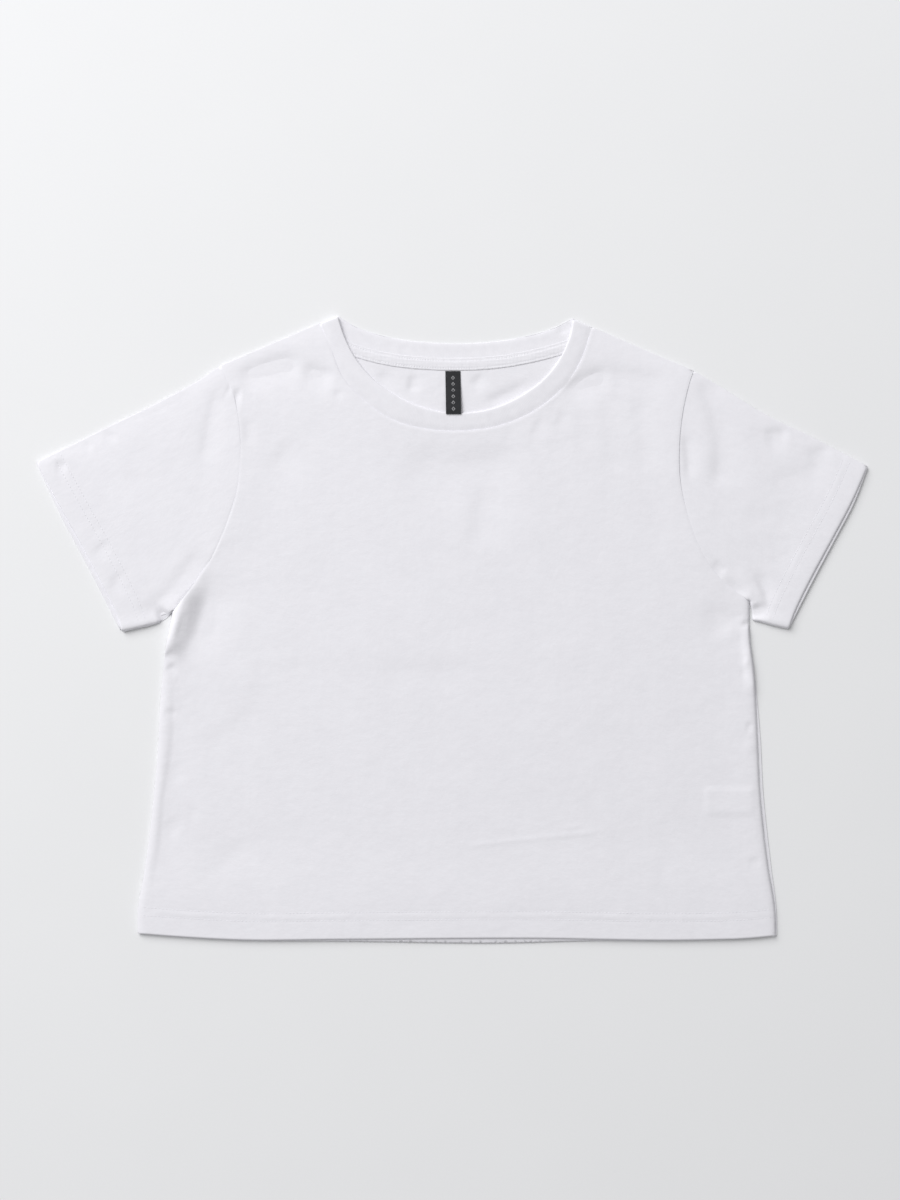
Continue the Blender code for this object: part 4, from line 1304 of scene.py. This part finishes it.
def add_floor():
    mesh = bpy.data.meshes.new("floor")
    corners = [(x * FLOOR_HALF, y * FLOOR_HALF, FLOOR_Z)
               for x, y in ((-1, -1), (1, -1), (1, 1), (-1, 1))]
    mesh.from_pydata(corners, [], [(0, 1, 2, 3)])
    mesh.materials.append(floor_finish())
    floor = bpy.data.objects.new("floor", mesh)
    bpy.context.collection.objects.link(floor)
    return floor


def add_light():
    lamp = bpy.data.lights.new("window", "AREA")
    lamp.shape = "SQUARE"
    lamp.size = LIGHT_SIZE
    lamp.energy = LIGHT_ENERGY
    lamp.color = LIGHT_COLOUR
    window = bpy.data.objects.new("window", lamp)
    window.location = LIGHT_PLACE
    window.rotation_euler = (-Vector(LIGHT_PLACE)).to_track_quat("-Z", "Y").to_euler()
    bpy.context.collection.objects.link(window)
    world = bpy.data.worlds.new("room")
    world.use_nodes = True
    background = world.node_tree.nodes["Background"]
    background.inputs["Color"].default_value = (*FILL_COLOUR, 1.0)
    background.inputs["Strength"].default_value = FILL_STRENGTH
    bpy.context.scene.world = world


def add_camera():
    lens = bpy.data.cameras.new("camera")
    lens.lens = CAMERA_LENS
    lens.sensor_width = CAMERA_SENSOR
    camera = bpy.data.objects.new("camera", lens)
    camera.location = CAMERA_PLACE
    camera.rotation_euler = (0.0, 0.0, 0.0)
    bpy.context.collection.objects.link(camera)
    bpy.context.scene.camera = camera


RIGHT_SLEEVE = {
    "arm": ARM_RIGHT_LINE, "fold": FOLD_RIGHT_LINE, "low": LOW_RIGHT_LINE,
    "cuff": CUFF_RIGHT_LINE, "under_cuff": line_of(UNDER_CUFF_RIGHT),
    "creases": RIGHT_SLEEVE_CREASES, "cuff_edge": CUFF_EDGE_RIGHT, "cuff_side": 1.0,
    "step": 0.0, "dip": 0.13, "seed": 11,
    "walk": (ARM_RIGHT_LINE, FOLD_RIGHT_LINE, CUFF_RIGHT_LINE, LOW_RIGHT_LINE),
}
LEFT_SLEEVE = {
    "arm": ARM_LEFT_LINE, "fold": FOLD_LEFT_LINE, "low": LOW_LEFT_LINE,
    "cuff": CUFF_LEFT_LINE, "under_cuff": line_of(UNDER_CUFF_LEFT),
    "creases": LEFT_SLEEVE_CREASES, "cuff_edge": CUFF_EDGE_LEFT, "cuff_side": -1.0,
    "step": 0.85, "dip": 0.08, "seed": 15,
    "walk": (LOW_LEFT_LINE[::-1], CUFF_LEFT_LINE[::-1], FOLD_LEFT_LINE[::-1],
             ARM_LEFT_LINE[::-1]),
}
RIGHT_SLEEVE["under_walk"] = (ARM_RIGHT_LINE, shifted(FOLD_RIGHT_LINE, RIM_UNDER),
                              RIGHT_SLEEVE["under_cuff"], line_of(UNDER_LOW_RIGHT))
LEFT_SLEEVE["under_walk"] = (line_of(UNDER_LOW_LEFT)[::-1], LEFT_SLEEVE["under_cuff"][::-1],
                             shifted(FOLD_LEFT_LINE, -RIM_UNDER)[::-1], ARM_LEFT_LINE[::-1])


def main():
    bpy.context.scene.view_settings.view_transform = "Standard"
    body = jersey("jersey_body", 0.0, JERSEY_LOW, JERSEY_HIGH)
    right = jersey("jersey_sleeve_right", -SLEEVE_TURN, JERSEY_LOW, JERSEY_HIGH)
    left = jersey("jersey_sleeve_left", SLEEVE_TURN, JERSEY_LOW, JERSEY_HIGH)
    ribbing = rib("rib_knit", RIB_LOW, RIB_HIGH)
    taping = woven("tape_twill", RIB_LOW, RIB_HIGH, 0.85, 0.0011, 0.00012)
    black = woven("label_satin", LABEL_LOW, LABEL_HIGH, 0.7, 0.0007, 0.00008)
    grey = woven("label_thread", MARK_LOW, MARK_HIGH, 0.8, 0.0006, 0.00008)
    care = woven("care_satin", CARE_LOW, CARE_HIGH, 0.6, 0.0007, 0.00006)
    thread = woven("thread", JERSEY_LOW, JERSEY_HIGH, 0.8, 0.0007, 0.00005)

    floor = add_floor()
    back, back_outline = build_back(body)
    front, front_outline = build_front(body)
    sleeve_right, upper_right, under_right = build_sleeve("sleeve_right", RIGHT_SLEEVE, right)
    sleeve_left, upper_left, under_left = build_sleeve("sleeve_left", LEFT_SLEEVE, left)
    band, band_outlines = build_neckband(ribbing)
    tape, tape_outline, tape_low, tape_top = build_tape(taping)
    label, marks = build_label(black, grey)
    care_label, care_outline = build_care_label(care)

    hem_rows = [(trimmed(shifted(FRONT_HEM_LINE, row), 2.5, 2.5), front_top, *HEM_STITCH)
                for row in HEM_ROWS]
    hem_stitches = build_stitches("hem_stitches", hem_rows, thread)
    cuff_stitches = []
    for name, sleeve in (("right", RIGHT_SLEEVE), ("left", LEFT_SLEEVE)):
        top_of = sleeve_top(sleeve)
        rows = [(trimmed(shifted(sleeve["cuff"], sleeve["cuff_side"] * row), 3.0, 4.0),
                 top_of, *CUFF_STITCH) for row in CUFF_ROWS]
        cuff_stitches.append(build_stitches(f"cuff_stitches_{name}", rows, thread))
    tape_rows = [(trimmed(shifted(tape_low, row), 3.0, 3.0), tape_top, *TAPE_STITCH)
                 for row in TAPE_ROWS]
    tape_stitches = build_stitches("tape_stitches", tape_rows, thread)

    for piece, outlines, on, along in (
            (back, (back_outline,), [floor], []),
            (front, (front_outline,), [back, care_label], [hem_stitches]),
            (sleeve_right, (upper_right, under_right), [floor], [cuff_stitches[0]]),
            (sleeve_left, (upper_left, under_left), [floor], [cuff_stitches[1]]),
            (band, band_outlines, [back, floor], []),
            (tape, (tape_outline,), [band, back], [tape_stitches]),
            (care_label, (care_outline,), [back], [])):
        width, length = spans(np.vstack(outlines))
        area = sum(polygon_area(outline) for outline in outlines)
        if len(outlines) == 2:
            length = max(length, area / width * 1.02)

    add_light()
    add_camera()


main()
